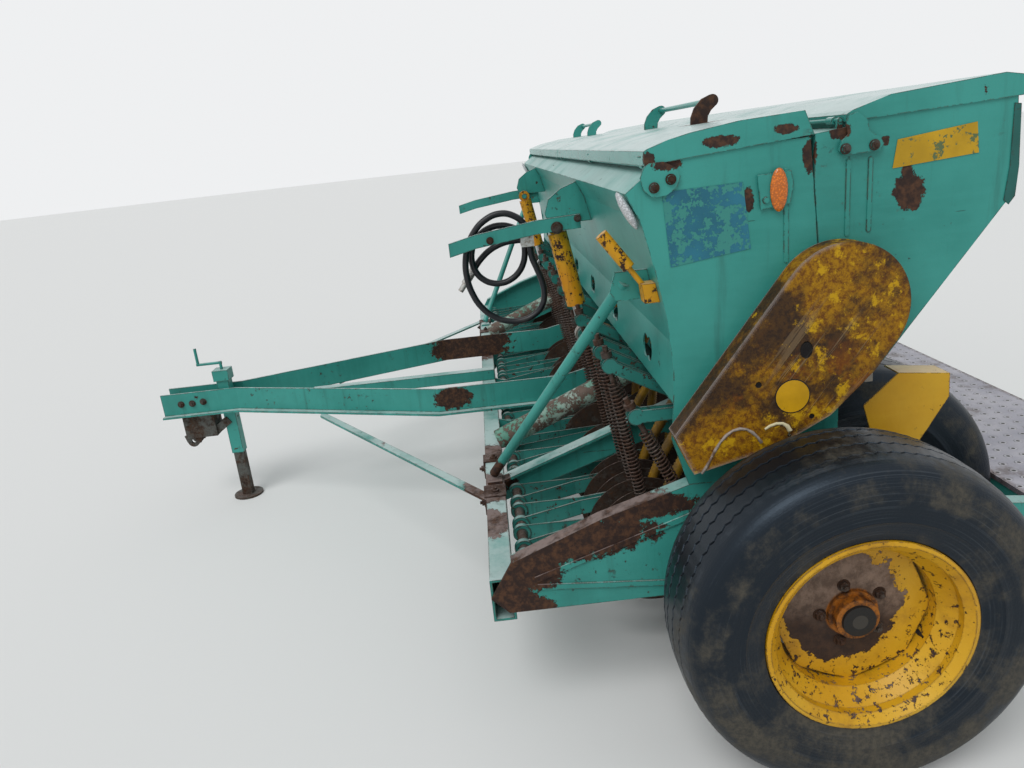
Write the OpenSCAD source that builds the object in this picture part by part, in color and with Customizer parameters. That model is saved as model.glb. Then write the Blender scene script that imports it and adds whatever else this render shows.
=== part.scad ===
// Towed combined seed drill: a seed box and a fertilizer box side by side over
// a frame on four wheels, with 24 coulters that a turning shaft lifts.
// Millimetres, +Z up, front at -Y, +X to the machine's left side.
// The origin is on the ground, under the middle of the whole machine.

/* [Overall] */
// Width over the end sheets of the boxes
box_w = 3288; // [3000:4:3400]
// Drawbar tip ahead of the outer axle
front_reach = 2110; // [2000:10:2300]
// Footboard's rear edge behind the outer axle
rear_reach = 1050; // [980:10:1200]

/* [Wheels] */
// Outer radius of the tyres, which is also the height of the axles
tyre_r = 376; // [360:1:385]
// Width of a tyre
tyre_w = 256; // [220:2:260]
// Outer wheel's middle plane outside the end sheet
outer_wheel_gap = 190; // [188:1:230]
// Inner wheel's middle plane inside the end sheet
inner_wheel_in = 344; // [335:1:360]
// Inner axle behind the outer axle
inner_wheel_back = 225; // [200:1:235]
// Radius of the rim's flange
rim_r = 213; // [200:1:225]
// Radius of the stub axles
stub_r = 30; // [24:1:34]

/* [Frame] */
// Thickness of the side frame plates
side_t = 8; // [6:1:10]
// Height of the top of the front beam
beam_top = 411; // [400:1:420]
// Height of the front beam
beam_h = 110; // [90:1:120]
// Front beam's depth from front to back
beam_d = 55; // [50:1:60]
// Front face of the front beam ahead of the outer axle
beam_front = 750; // [740:1:770]
// Wall of the square tubes
tube_wall = 6; // [4:0.5:8]
// Middle plane of the inner rails from the centre
rail_x = 1056; // [1050:1:1062]

/* [Drawbar] */
// Height of the drawbar's angle sections
draw_h = 100; // [80:1:110]
// Width of their lower leg
draw_leg = 35; // [25:1:38]
// Thickness of the angle sections
draw_t = 8; // [6:1:10]
// Angle sections' distance from the centre behind their bend
draw_x = 392; // [385:1:396]
// Bend in the angle sections ahead of the outer axle
draw_bend = 915; // [880:5:1000]
// Radius of the hitch pin's bore
hitch_r = 16; // [12:0.5:20]

/* [Boxes] */
// Sheet thickness of the boxes
sheet = 4; // [3:0.5:6]
// Sheet thickness of the lids
lid_sheet = 3; // [2:0.5:4]

/* [Coulters] */
// Distance between two rows
row_pitch = 132; // [131:0.5:132]
// Radius of the coulter discs
disc_r = 155; // [140:1:158]
// Thickness of a disc
disc_t = 4; // [3:0.5:6]
// Radius of the rod that the arms turn on
pivot_r = 14; // [10:0.5:16]
// Radius of the lift shaft
shaft_r = 25; // [20:1:28]
// Outer radius of the coil springs
spring_r = 17; // [14:1:19]
// Radius of the rods in the springs
rod_r = 7; // [5:0.5:8]

/* [Jack] */
// Outside width of the jack's square leg
jack_w = 50; // [40:1:60]

/* [Hidden] */
$fn = 48;
half_box = box_w / 2;
axle_y = (front_reach - rear_reach) / 2;
axle_z = tyre_r;
run = 0.3;
side_x = half_box;
inner_x = half_box - inner_wheel_in;
// Coulters, as many as fit between the outer hangers
rows = 2 * floor((half_box - 120) / row_pitch + 0.5);
// Hangers of the lift shaft and of the coulters' rod
hanger_x = half_box - 60;
hangers = [-hanger_x, -4 * row_pitch, 0, 4 * row_pitch, hanger_x];
mid_beam = [-70, 710, 80];
board_top = 391;
board_t = 3;
board_front = 625;
rear_tube = [board_front + board_t + run, board_top - board_t - run - 45, 45];

// Places in side view are [y, z] pairs: y from the outer axle, z from the ground.
// Rod the coulter arms turn on, lift shaft, lever pin and cylinder pin
pivot = [-660, 371];
shaft = [-235, 735];
lever_pin = [-385, 765];
cylinder_pin = [-450, 1115];
// Spring rods' pins on the arms and their eyes in the forks, front and rear rank
rod_pins = [[-328, 400], [-213, 400]];
fork_eyes = [[-400, 826], [-366, 735]];
// Disc centres of the two ranks
disc_centres = [[-318, 310], [-105, 300]];
// Lid hinges
seed_hinge = [-334, 1303];
fert_hinge = [53, 1350];
hinge_r = 4;
// Boxes
// Space between the seed box's rear wall and the fertilizer box's front wall
box_seam = 2;
meter_y = -120;
meter_top = 834.7;
fert_meter_y = 128;
fert_meter_top = 844.7;
fert_meter_h = 75;
side_top = 603;
inner_axle = [inner_wheel_back, axle_z];
lane = [inner_x - tyre_w / 2, inner_x + tyre_w / 2];

function unit(v) = v / norm(v);
function left_of(v) = [-v[1], v[0]];
// Corner i of a path moved sideways by one, along the mitre of its two edges
function corner_shift(p, i) =
  i == 0 ? left_of(unit(p[1] - p[0])) :
  i == len(p) - 1 ? left_of(unit(p[i] - p[i - 1])) :
  let (a = left_of(unit(p[i] - p[i - 1])), b = left_of(unit(p[i + 1] - p[i])))
  (a + b) / (1 + a * b);
// Outline of a bent sheet of thickness t that lies to the left of a path
function bent(p, t) = concat(p,
  [for (i = [len(p) - 1:-1:0]) p[i] + t * corner_shift(p, i)]);
// Outline of a straight strap between two places, w to each side of its middle line
function strap(a, b, w) = let (n = w * left_of(unit(b - a))) [a + n, b + n, b - n, a - n];
function row_x(i) = (i - (rows - 1) / 2) * row_pitch;
// Short coulters go in front of the inner wheels, elsewhere every other one is short
function in_lane(x) = abs(x) > lane[0] - 60 && abs(x) < lane[1] + 40;
function rank(i) = in_lane(row_x(i)) ? 0 : (i < rows / 2 ? i + 1 : i) % 2;

module on_side(s) {
  if (s > 0) children();
  else mirror([1, 0, 0]) children();
}
// Extrudes a side-view outline across the machine
module across(x0, x1) {
  translate([x0, axle_y, 0]) rotate([90, 0, 90]) linear_extrude(x1 - x0) children();
}
module rod_x(x0, x1, at, r) {
  translate([x0, axle_y + at[0], at[1]]) rotate([0, 90, 0]) cylinder(r = r, h = x1 - x0);
}
// Square bar between two points in the machine's own frame from the outer axle
module bar(a, b, w, h) {
  d = b - a;
  translate([a[0], axle_y + a[1], a[2]]) rotate([0, acos(d[2] / norm(d)), atan2(d[1], d[0])])
    translate([-h / 2, -w / 2, 0]) cube([h, w, norm(d)]);
}
module round_bar(a, b, r) {
  d = b - a;
  translate([a[0], axle_y + a[1], a[2]]) rotate([0, acos(d[2] / norm(d)), atan2(d[1], d[0])])
    cylinder(r = r, h = norm(d));
}

// Side frames: pressed plates with flanges, ribs and the outer stub axle
side_outline = [[-750, 366], [-695, 455], [-483, 540], [-275, side_top], [250, side_top],
  [420, 470], [rear_tube[0] + rear_tube[2], 440], [rear_tube[0] + rear_tube[2], 325], [-710, 325]];
side_flange = 40;
// End of a stub axle outside the wheel's middle plane
stub_end = 38;
module side_frame() {
  across(side_x - side_t, side_x) polygon(side_outline);
  across(side_x - side_flange, side_x)
    polygon(bent([for (i = [1:6]) side_outline[i]], -side_t));
  across(side_x - side_flange, side_x)
    polygon(bent([side_outline[7], [-beam_front + beam_d + run, side_outline[8][1]]], -side_t));
  rod_x(side_x - side_t, side_x + outer_wheel_gap + stub_end, [0, axle_z], stub_r);
  rod_x(side_x, side_x + 20, [0, axle_z], stub_r + 35);
  for (e = [[[-640, 400], [-150, 560]], [[-640, 380], [-300, 350]]])
    across(side_x, side_x + 4) polygon(bent(e, 14));
}
module side_frame_left() color("mediumseagreen") side_frame();
module side_frame_right() color("mediumseagreen") on_side(-1) side_frame();

module tube_x(x0, x1, y, z, d, h) {
  difference() {
    translate([x0, axle_y + y, z]) cube([x1 - x0, d, h]);
    translate([x0 - 1, axle_y + y + tube_wall, z + tube_wall])
      cube([x1 - x0 + 2, d - 2 * tube_wall, h - 2 * tube_wall]);
  }
}
pivot_back = pivot[0] + beam_front - beam_d;
module front_beam() color("mediumseagreen") {
  end = side_x - side_t - run;
  tube_x(-end, end, -beam_front, beam_top - beam_h, beam_d, beam_h);
  for (x = hangers)
    difference() {
      across(x - 5, x + 5)
        polygon([[-beam_front + beam_d, beam_top - beam_h], [pivot[0] + 10, pivot[1] - 26],
          [pivot[0] + 26, pivot[1]], [pivot[0] + 10, pivot[1] + 26],
          [-beam_front + beam_d, beam_top]]);
      rod_x(x - 6, x + 6, pivot, pivot_r + run);
    }
}
module coulter_pivot_rod() color("dimgray") rod_x(-hanger_x - 8, hanger_x + 8, pivot, pivot_r);

// Beam that carries the boxes, with the hangers of the lift shaft
module mid_beam() color("mediumseagreen") {
  end = side_x - sheet - run;
  tube_x(-end, end, mid_beam[0], mid_beam[1], mid_beam[2], mid_beam[2]);
  for (x = hangers)
    difference() {
      across(x - 6, x + 6)
        polygon([[mid_beam[0], mid_beam[1]], [shaft[0], shaft[1] - 45],
          [shaft[0] - 40, shaft[1]], [shaft[0], shaft[1] + 45], [mid_beam[0], mid_beam[1] + 65]]);
      rod_x(x - 7, x + 7, shaft, shaft_r + run);
    }
}
// Tubes that slant from the front beam up to the mid beam, beside the cylinders' levers
slant_x = 6 * row_pitch;
slant_r = 36;
slant_foot = [-700, 429];
slant_head = [20, 730];
module support_tubes() color("mediumseagreen")
  for (s = [1, -1]) on_side(s) difference() {
    round_bar([slant_x, slant_foot[0], slant_foot[1]], [slant_x, slant_head[0], slant_head[1]], slant_r);
    translate([slant_x - 50, axle_y - beam_front - 50, beam_top - 90]) cube([100, 120, 90 + run]);
    translate([slant_x - 50, axle_y - 200, mid_beam[1] - run]) cube([100, 300, 90]);
    translate([slant_x - 50, axle_y + mid_beam[0] + mid_beam[2], 500]) cube([100, 100, 300]);
  }
module rear_beam() color("mediumseagreen") {
  end = side_x - side_t - run;
  tube_x(-end, end, rear_tube[0], rear_tube[1], rear_tube[2], rear_tube[2]);
}

// Inner rails: plates on edge with a top flange that carry the inner stub axles
rail_outline = [[-beam_front + beam_d + run, beam_top], [-330, 541], [-90, 625],
  [-90, mid_beam[1] - run], [10, mid_beam[1] - run], [270, 420],
  [rear_tube[0] - run, 376], [rear_tube[0] - run, 330],
  [180, 318], [-200, 500], [-beam_front + beam_d + run, beam_top - 75]];
module inner_rail() difference() {
  union() {
    across(rail_x - 4, rail_x + 4) polygon(rail_outline);
    across(rail_x - 26, rail_x + 26)
      polygon(bent([rail_outline[0], rail_outline[1], rail_outline[2]], -8));
    rod_x(rail_x, inner_x + stub_end, inner_axle, stub_r);
    rod_x(rail_x, rail_x + 25, inner_axle, stub_r + 30);
  }
  rod_x(rail_x - 5, rail_x + 5, pivot, pivot_r + run);
}
module inner_rail_left() color("seagreen") inner_rail();
module inner_rail_right() color("seagreen") on_side(-1) inner_rail();

// Drawbar: two bent angle sections, a middle member and two flat braces
tip_x = 45;
tip_y = -front_reach;
// Straight length of the drawbar behind its tip
tip_len = 320;
module drawbar_side() {
  z0 = beam_top + run;
  pts = [[tip_x, tip_y], [tip_x, tip_y + tip_len], [draw_x, -draw_bend], [draw_x, -430]];
  translate([0, axle_y, z0]) {
    linear_extrude(draw_h) polygon(bent(pts, -draw_t));
    linear_extrude(draw_t) polygon(bent(pts, -draw_leg));
  }
  across(draw_x, draw_x + draw_t)
    polygon([[-430, z0], [-430, z0 + draw_h], [-200, 560], [-90, 640],
      [-90, 560], [-200, 480]]);
}
module drawbar_left() color("mediumseagreen") drawbar_side();
module drawbar_right() color("mediumseagreen") on_side(-1) drawbar_side();
centre_front = -1480;
module drawbar_centre() color("mediumseagreen") {
  translate([-22, axle_y + centre_front, beam_top + run])
    cube([44, -beam_front + beam_d - centre_front, 45]);
}
// Distance of a drawbar's outer face from the centre, ahead of its bend
function draw_side_x(y) = tip_x + (draw_x - tip_x) * (y - tip_y - tip_len) / (-draw_bend - tip_y - tip_len);
brace_y = -1410;
brace_t = 8;
module brace() {
  x = draw_side_x(brace_y);
  translate([0, axle_y, beam_top - brace_t]) linear_extrude(brace_t)
    polygon([[x + 8, brace_y], [x + 58, brace_y], [rail_x + 149, -beam_front - run],
      [rail_x + 94, -beam_front - run]]);
}
module drawbar_brace_left() color("mediumseagreen") brace();
module drawbar_brace_right() color("mediumseagreen") on_side(-1) brace();
// Hitch block between the drawbar's sides, with the bore for the towing pin, and a
// head below it with two lugs and a stay on each side of the jack
hitch_len = 150;
hitch_h = 70;
head_y = [tip_y + 65, tip_y + 202];
head_bottom = 305;
module hitch_block() color("darkslategray") {
  difference() {
    translate([-tip_x + run, axle_y + tip_y, beam_top + run])
      cube([2 * (tip_x - run), hitch_len, hitch_h]);
    translate([0, axle_y + tip_y + 45, beam_top - 1]) cylinder(r = hitch_r, h = hitch_h + 10);
  }
  translate([-tip_x + 1, axle_y + head_y[0], head_bottom])
    cube([2 * (tip_x - 1), head_y[1] - head_y[0] - 4, beam_top + 5 - head_bottom]);
  for (s = [1, -1]) on_side(s) {
    across(20, 32) difference() {
      union() {
        polygon([[head_y[0] - 14, head_bottom + 8], [head_y[0] + 62, head_bottom + 8],
          [head_y[0] + 50, head_bottom - 28], [head_y[0] - 6, head_bottom - 22]]);
        translate([head_y[0] + 20, head_bottom - 18]) circle(r = 25);
      }
      translate([head_y[0] + 20, head_bottom - 18]) circle(r = 9);
    }
    across(jack_w / 2 + run, jack_w / 2 + run + 6)
      polygon(strap([head_y[1] - 20, head_bottom + 12], [jack_y - 5, head_bottom + 62], 17));
  }
}
// Jack: a square tube through the drawbar, with a leg that slides in it
jack_y = tip_y + 260;
jack_wall = 4;
jack_foot_r = 62;
cap_w = 66;
crank_r = 6;
socket_z = [210, 551];
module jack_socket() color("seagreen") difference() {
  union() {
    translate([-jack_w / 2, axle_y + jack_y - jack_w / 2, socket_z[0]])
      cube([jack_w, jack_w, socket_z[1] - socket_z[0]]);
    translate([-tip_x + run, axle_y + jack_y - 20, beam_top + 12])
      cube([2 * (tip_x - run), 40, draw_h - 24]);
    // Gear housing on top, with the crank
    translate([-cap_w / 2, axle_y + jack_y - cap_w / 2, socket_z[1] - 10]) cube([cap_w, cap_w, 46]);
    translate([0, axle_y + jack_y, socket_z[1] + 30]) cylinder(r = crank_r, h = 40);
    translate([0, axle_y + jack_y - 100, socket_z[1] + 64]) rotate([-90, 0, 0])
      cylinder(r = crank_r, h = 106);
    translate([0, axle_y + jack_y - 94, socket_z[1] + 60]) cylinder(r = crank_r, h = 75);
  }
  translate([-jack_w / 2 + jack_wall, axle_y + jack_y - jack_w / 2 + jack_wall, socket_z[0] - 10])
    cube([jack_w - 2 * jack_wall, jack_w - 2 * jack_wall, socket_z[1] - socket_z[0] - 1]);
}
module jack_leg() color("gray") {
  w = jack_w - 2 * jack_wall - 2 * run;
  translate([-w / 2, axle_y + jack_y - w / 2, 6]) cube([w, w, 330]);
  translate([0, axle_y + jack_y, 0]) cylinder(r = jack_foot_r, h = 8);
}

// Boxes: bent sheets with end sheets and a middle wall
seed_wall = [[-9, 1326], [8, 1113], [8, 1000], [-85, 835], [-155, 835], [-298, 930],
  [-309, 986], [-331, 1095], [-357, 1199], [-384, 1253], [-336, 1288], [-322, 1296], [-322, 1312]];
seed_end = [[-9, 1326], [8, 1113], [8, 800], [60, 760], [60, side_top + run],
  [-277, side_top + run], [-311, 715], [-299, 853], [-309, 986], [-331, 1095],
  [-357, 1199], [-384, 1253], [-336, 1288], [-322, 1296], [-322, 1312]];
fert_wall = [[406, 1362], [414, 1225], [417, 1173], [396, 1153], [156, 845], [100, 845],
  [8 + box_seam, 1000], [8 + box_seam, 1113], [0, 1240], [0, 1330], [66, 1336], [66, 1356]];
// Place of the seed box's front wall at a height
function wall_y(z) = lookup(z, [for (i = [5:9]) [seed_wall[i][1], seed_wall[i][0]]]);
module hollow_box(wall, end_sheet) {
  across(-half_box + sheet + run, half_box - sheet - run) polygon(bent(wall, -sheet));
  for (x = [-half_box, half_box - sheet]) across(x, x + sheet) polygon(end_sheet);
  across(-sheet / 2, sheet / 2)
    polygon([for (i = [0:len(wall) - 1]) wall[i] - (sheet + run) * corner_shift(wall, i)]);
}
// Ears of a lid's hinge, round about its rod and from there to a place on the box's wall
module hinge_ears(at, to) {
  for (x = [-half_box + 8, -half_box / 2 - 5, -20, 10, half_box / 2 - 5, half_box - 18])
    across(x, x + 10) {
      translate(at) circle(r = hinge_r + 1);
      polygon(strap(at, to, hinge_r + 1));
    }
  rod_x(-half_box + 6, half_box - 6, at, hinge_r);
}
// Pressed upright ribs of an end sheet, each as [y, bottom, top]
seed_ribs = [[-58, 1085, 1266]];
fert_ribs = [[68, 1126, 1270], [113, 1130, 1270]];
rib_w = 9;
module end_ribs(ribs) {
  for (s = [1, -1], e = ribs) on_side(s)
    across(half_box - 1, half_box + 2.5) {
      polygon(strap([e[0], e[1]], [e[0], e[2]], rib_w / 2));
      translate([e[0], e[1]]) circle(r = rib_w / 2);
      translate([e[0], e[2]]) circle(r = rib_w / 2);
    }
}
// Hinge plates outside the end sheets: outline and bolts
link_gap = 5;
link_t = 4;
module link_plate(outline, bolts) {
  for (s = [1, -1]) on_side(s) {
    across(half_box + link_gap, half_box + link_gap + link_t) polygon(outline);
    for (b = bolts) rod_x(half_box - 1, half_box + link_gap + link_t + 5, b, 8);
  }
}
module seed_box() color("mediumseagreen") {
  hollow_box(seed_wall, seed_end);
  end_ribs(seed_ribs);
  link_plate([[-354, 1281], [-346, 1300], [-333, 1308], [-306, 1308], [-280, 1294], [-273, 1276],
    [-281, 1256], [-302, 1243], [-330, 1241], [-348, 1256]], [[-327, 1260], [-293, 1273]]);
  hinge_ears(seed_hinge, [seed_wall[11][0] + sheet / 2, seed_hinge[1]]);
  difference() {
    across(-half_box + 1, half_box - 1) polygon(bent([[-298, 934], [-304, 800]], sheet));
    for (x = [-1380:460:1380])
      for (d = [-20, 20]) translate([x + d, axle_y - 280, 860]) rotate([90, 0, 0]) cylinder(r = 30, h = 40);
  }
}
module fertilizer_box() color("mediumseagreen") {
  hollow_box(concat([for (i = [0:8]) fert_wall[i]], [[0, fert_wall[9][1] - sheet - 2 * run]]), fert_wall);
  across(-half_box + sheet + run, half_box - sheet - run)
    polygon(bent([for (i = [9:11]) fert_wall[i]], -sheet));
  end_ribs(fert_ribs);
  link_plate([[57, 1283], [43, 1294], [49, 1310], [62, 1322], [58, 1340], [62, 1359], [81, 1362],
    [99, 1348], [106, 1324], [128, 1310], [135, 1298], [128, 1285]], [[57, 1295], [115, 1297]]);
  hinge_ears(fert_hinge, [53, 1332]);
}
seed_lid_top = [[-343, 1303], [-343, 1331], [-336, 1335], [-294, 1348], [-251, 1357],
  [-152, 1370], [-22, 1376], [-3, 1329]];
fert_lid_top = [[60, 1346], [60, 1360], [72, 1367], [148, 1389], [375, 1407], [414, 1400], [414, 1361]];
module knuckles(at, to) {
  for (x = [60, half_box / 2 + 20, half_box - 60])
    difference() {
      union() {
        rod_x(x, x + 30, at, hinge_r + 3.5);
        across(x, x + 30) polygon(strap(at, to, 3));
      }
      rod_x(x - 1, x + 31, at, hinge_r + run);
    }
}
module lid(top, at, to) {
  across(3, half_box + 4) polygon(bent(top, -lid_sheet));
  across(half_box + 1, half_box + 4) polygon(top);
  knuckles(at, to);
}
// Handle of a seed lid: two curved plates that carry a round bar
handle_x = half_box - 719;
handle_bar = [-72, 1424];
module lid_handle() {
  for (x = [handle_x - 280, handle_x + 272]) across(x, x + 8) {
    translate(handle_bar) circle(r = 15);
    polygon([[-128, 1366], [-86, 1369], [-84, 1388], [-76, 1401], [-61, 1414], [-78, 1438],
      [-99, 1430], [-118, 1410], [-127, 1388]]);
  }
  rod_x(handle_x - 279, handle_x + 279, handle_bar, 7);
}
module seed_lid_left() color("mediumaquamarine") {
  lid(seed_lid_top, seed_hinge, [-341.5, 1322]);
  lid_handle();
}
module seed_lid_right() on_side(-1) seed_lid_left();
module fertilizer_lid_left() color("mediumaquamarine") lid(fert_lid_top, fert_hinge, [61.5, 1352]);
module fertilizer_lid_right() on_side(-1) fertilizer_lid_left();

module meters(y, top, h) {
  for (i = [0:rows - 1])
    across(row_x(i) - 38, row_x(i) + 38)
      polygon([[y - 28, top], [y + 28, top], [y + 34, top - h / 2], [y + 14, top - h], [y - 14, top - h],
        [y - 34, top - h / 2]]);
  translate([-half_box + sheet + run, axle_y + y - 9, top - h / 2 - 9])
    cube([box_w - 2 * sheet - 2 * run, 18, 18]);
}
module seed_meters() color("silver") meters(meter_y, meter_top, meter_h);
module fertilizer_meters() color("silver") meters(fert_meter_y, fert_meter_top, fert_meter_h);
boot_top = 418;
tube_feet = [for (pin = rod_pins) pin[0] + 42];
tube_r = 16;
meter_h = 85;
module seed_tubes() color("goldenrod") {
  for (i = [0:rows - 1]) {
    foot_y = tube_feet[rank(i)];
    drop = meter_top - meter_h - boot_top;
    lift = tube_r * sin(atan2(abs(meter_y - foot_y), drop)) + run;
    round_bar([row_x(i), foot_y, boot_top + lift], [row_x(i), meter_y, meter_top - meter_h - lift], tube_r);
  }
}

// Brackets of the two cylinders on the front wall
cyl_x = 6 * row_pitch;
bracket_x = cyl_x + 22;
// Lower edge of the bracket's flat arm, from its tip to the wall
bracket_arm = [[-785, 1058], [-700, 1077], [-505, 1101], [-375, 1106]];
module cylinder_bracket() {
  across(bracket_x - 5, bracket_x + 5)
    polygon([for (z = [1125, 1199, 1245]) [wall_y(z) - run, z], [-429, 1228], [-468, 1200],
      [-482, 1157], [-470, 1125]]);
  across(bracket_x + 5, bracket_x + 15)
    polygon(concat(bracket_arm, [for (i = [3:-1:0]) bracket_arm[i] + [0, 42]]));
  rod_x(bracket_x - 45, bracket_x + 25, cylinder_pin, 12);
}
module cylinder_bracket_left() color("mediumseagreen") cylinder_bracket();
module cylinder_bracket_right() color("mediumseagreen") on_side(-1) cylinder_bracket();
reach = norm(lever_pin - cylinder_pin);
// Draws children along the cylinder, from its upper pin down to the lever's pin
module along_cylinder() {
  d = lever_pin - cylinder_pin;
  for (s = [1, -1]) on_side(s)
    translate([cyl_x, axle_y + cylinder_pin[0], cylinder_pin[1]])
      rotate([90 + atan2(d[1], d[0]), 0, 0]) rotate([180, 0, 0]) children();
}
module cylinder_barrels() color("goldenrod") along_cylinder() difference() {
  union() {
    translate([-15, 0, 0]) rotate([0, 90, 0]) cylinder(r = 26, h = 30);
    translate([0, 0, 20]) cylinder(r = 30, h = 235);
  }
  translate([-16, 0, 0]) rotate([0, 90, 0]) cylinder(r = 12 + run, h = 32);
  translate([0, 0, 90]) cylinder(r = 15 + run, h = 170);
}
module cylinder_rods() color("silver") along_cylinder() difference() {
  union() {
    translate([0, 0, 105]) cylinder(r = 15, h = reach - 105 - 15);
    translate([-14, 0, reach]) rotate([0, 90, 0]) cylinder(r = 30, h = 28);
  }
  translate([-15, 0, reach]) rotate([0, 90, 0]) cylinder(r = 18.5, h = 30);
}
module lift_shaft() color("dimgray") {
  rod_x(-hanger_x - 16, hanger_x + 16, shaft, shaft_r);
  for (i = [0:rows - 1]) {
    eye = fork_eyes[rank(i)];
    for (s = [-15, 10]) across(row_x(i) + s, row_x(i) + s + 5) {
      translate(eye) circle(r = 20);
      polygon(strap(shaft, eye, 15));
    }
  }
  for (s = [1, -1]) on_side(s) {
    across(cyl_x + 16, cyl_x + 28) {
      translate(lever_pin) circle(r = 24);
      translate(shaft) circle(r = 40);
      polygon(strap(shaft, lever_pin, 20));
    }
    rod_x(cyl_x - 16, cyl_x + 28, lever_pin, 11);
  }
}

strut_foot = [rail_x + 13, -beam_front + 28, beam_top + 22];
strut_head = [half_box - 90, -380, 1061];
// Foot plate on the front beam and lug on the seed box's front wall
strut_plate = 8;
module strut() {
  difference() {
    round_bar(strut_foot, strut_head, 14);
    translate([strut_foot[0] - 50, axle_y + strut_foot[1] - 50, beam_top - 50])
      cube([100, 100, 50 + run + strut_plate / 2]);
  }
  translate([strut_foot[0] - 25, axle_y + strut_foot[1] - 22, beam_top + run]) cube([60, 44, strut_plate]);
  across(strut_head[0] - 4, strut_head[0] + 4)
    polygon([[wall_y(1020) - run, 1020], [wall_y(1084) - run, 1084],
      [strut_head[1] - 20, 1084], [strut_head[1] - 34, 1040], [strut_head[1] - 20, 1020]]);
}
module strut_left() color("mediumseagreen") strut();
module strut_right() color("mediumseagreen") on_side(-1) strut();

// Spindle that sets the seed rate, on the left side, with a ribbed handle
spindle_x = half_box - 49;
module rate_spindle() color("gold") {
  round_bar([spindle_x, -430, 1173], [spindle_x, -376, 1098], 14);
  round_bar([spindle_x, -382, 1106], [spindle_x, -340, 1046], 6);
  across(spindle_x - 20, spindle_x + 20)
    polygon([[wall_y(1020) - run, 1020], [wall_y(1062) - run, 1062], [-354, 1062], [-349, 1020]]);
}

// Hoses on the left bracket: places [y, z] of their middle lines, and the block they
// are screwed into, which hangs under the bracket's arm
hose_r = 10;
block_y = [-562, -522];
block_z = [1065, 1095];
block_x = 738;
large_x = 798;
small_x = 774;
short_x = 750;
large_hose = [[-535, 1066], [-532, 1030], [-519, 990], [-507, 950], [-503, 910], [-514, 872], [-540, 846],
  [-580, 832], [-625, 834], [-668, 852], [-705, 887], [-730, 935], [-741, 985], [-740, 1035],
  [-728, 1080], [-705, 1122], [-668, 1156], [-620, 1172], [-576, 1161], [-547, 1133], [-536, 1094]];
small_hose = [[-550, 1066], [-552, 1036], [-560, 1008], [-577, 982], [-602, 963], [-632, 954],
  [-663, 957], [-691, 972], [-711, 997], [-720, 1028], [-718, 1060], [-706, 1091], [-683, 1115],
  [-653, 1130], [-622, 1134], [-592, 1128], [-568, 1114], [-552, 1094]];
short_hose = [[-561, 1080], [-576, 1080], [-588, 1080], [-600, 1079], [-612, 1077], [-624, 1074],
  [-636, 1070], [-648, 1065], [-659, 1059], [-670, 1052], [-680, 1044], [-689, 1036], [-698, 1027],
  [-706, 1018], [-713, 1009]];
// One tube through every step-th point of a route, with eight sides
module hose(x, route, step) {
  p = [for (i = [0:step:len(route) - 1]) route[i]];
  n = len(p);
  rings = [for (i = [0:n - 1])
    let (d = unit(p[min(i + 1, n - 1)] - p[max(i - 1, 0)]), side = left_of(d))
    for (k = [0:7]) let (a = 45 * k)
      [x + hose_r * cos(a), axle_y + p[i][0] + hose_r * sin(a) * side[0],
        p[i][1] + hose_r * sin(a) * side[1]]];
  polyhedron(rings, concat([[for (k = [0:7]) k]], [[for (k = [7:-1:0]) 8 * (n - 1) + k]],
    [for (i = [0:n - 2], k = [0:7]) let (m = (k + 1) % 8)
      [8 * i + k, 8 * i + 8 + k, 8 * i + 8 + m, 8 * i + m]]));
}
module hose_block() color("gray") {
  translate([block_x, axle_y + block_y[0], block_z[0]])
    cube([bracket_x + 4 - block_x, block_y[1] - block_y[0], block_z[1] - block_z[0]]);
  translate([bracket_x - 4, axle_y + block_y[0], block_z[0]]) cube([9 - run, block_y[1] - block_y[0], 60]);
}
module hose_large() color("black") hose(large_x, large_hose, 1);
module hose_small() color("black") hose(small_x, small_hose, 1);
module hose_short() color("black") hose(short_x, short_hose, 2);
// Quick coupler on the short hose's end
module hose_coupler() color("silver") {
  e = short_hose[14];
  d = unit(e - short_hose[13]);
  round_bar([short_x, e[0], e[1]], [short_x, e[0] + 62 * d[0], e[1] + 62 * d[1]], 13);
  round_bar([short_x, e[0] + 60 * d[0], e[1] + 60 * d[1]], [short_x, e[0] + 90 * d[0], e[1] + 90 * d[1]], 9);
}

guard_depth = 52;
guard_top = [45, 981];
guard_r = 137;
module guard_outline(t) {
  translate(guard_top) circle(r = guard_r - t);
  polygon([[guard_top[0] - (guard_r - t) * cos(38), guard_top[1] + (guard_r - t) * sin(38)],
    [-317 + 1.3 * t, 743], [-277 + t, 650 + 1.3 * t], [-97, 693 + t], [20 - t, 753 + t], [113 - t, 843 + t],
    [guard_top[0] + (guard_r - t) * cos(-34), guard_top[1] + (guard_r - t) * sin(-34)]]);
}
module chain_guard() difference() {
  across(side_x + run, side_x + guard_depth) guard_outline(0);
  across(side_x - 1, side_x + guard_depth - 3) guard_outline(4);
}
module chain_guard_left() color("goldenrod") chain_guard();
module chain_guard_right() color("goldenrod") on_side(-1) chain_guard();
lower_guard_outline = [[134, 731], [211, 800], [328, 786], [330, 731],
  [250, side_top + run], [170, side_top + run]];
module lower_guard() {
  x = side_x - side_flange + 2;
  across(x, x + 3) polygon(lower_guard_outline);
  across(x - 60, x + 3) polygon(bent([lower_guard_outline[1], lower_guard_outline[2]], -3));
}
module lower_guard_left() color("gold") lower_guard();
module lower_guard_right() color("gold") on_side(-1) lower_guard();

module footboard() color("lightsteelblue") {
  end = side_x - side_t - run;
  across(-end, end) polygon(bent([[board_front, board_top - 14], [board_front, board_top],
    [rear_reach, board_top], [rear_reach, board_top - 20]], -board_t));
  for (x = hangers)
    across(x - 4, x + 4) polygon([[rear_tube[0] + rear_tube[2] + run, board_top - board_t],
      [980, board_top - board_t], [rear_tube[0] + rear_tube[2] + run, rear_tube[1]]]);
}

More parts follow.
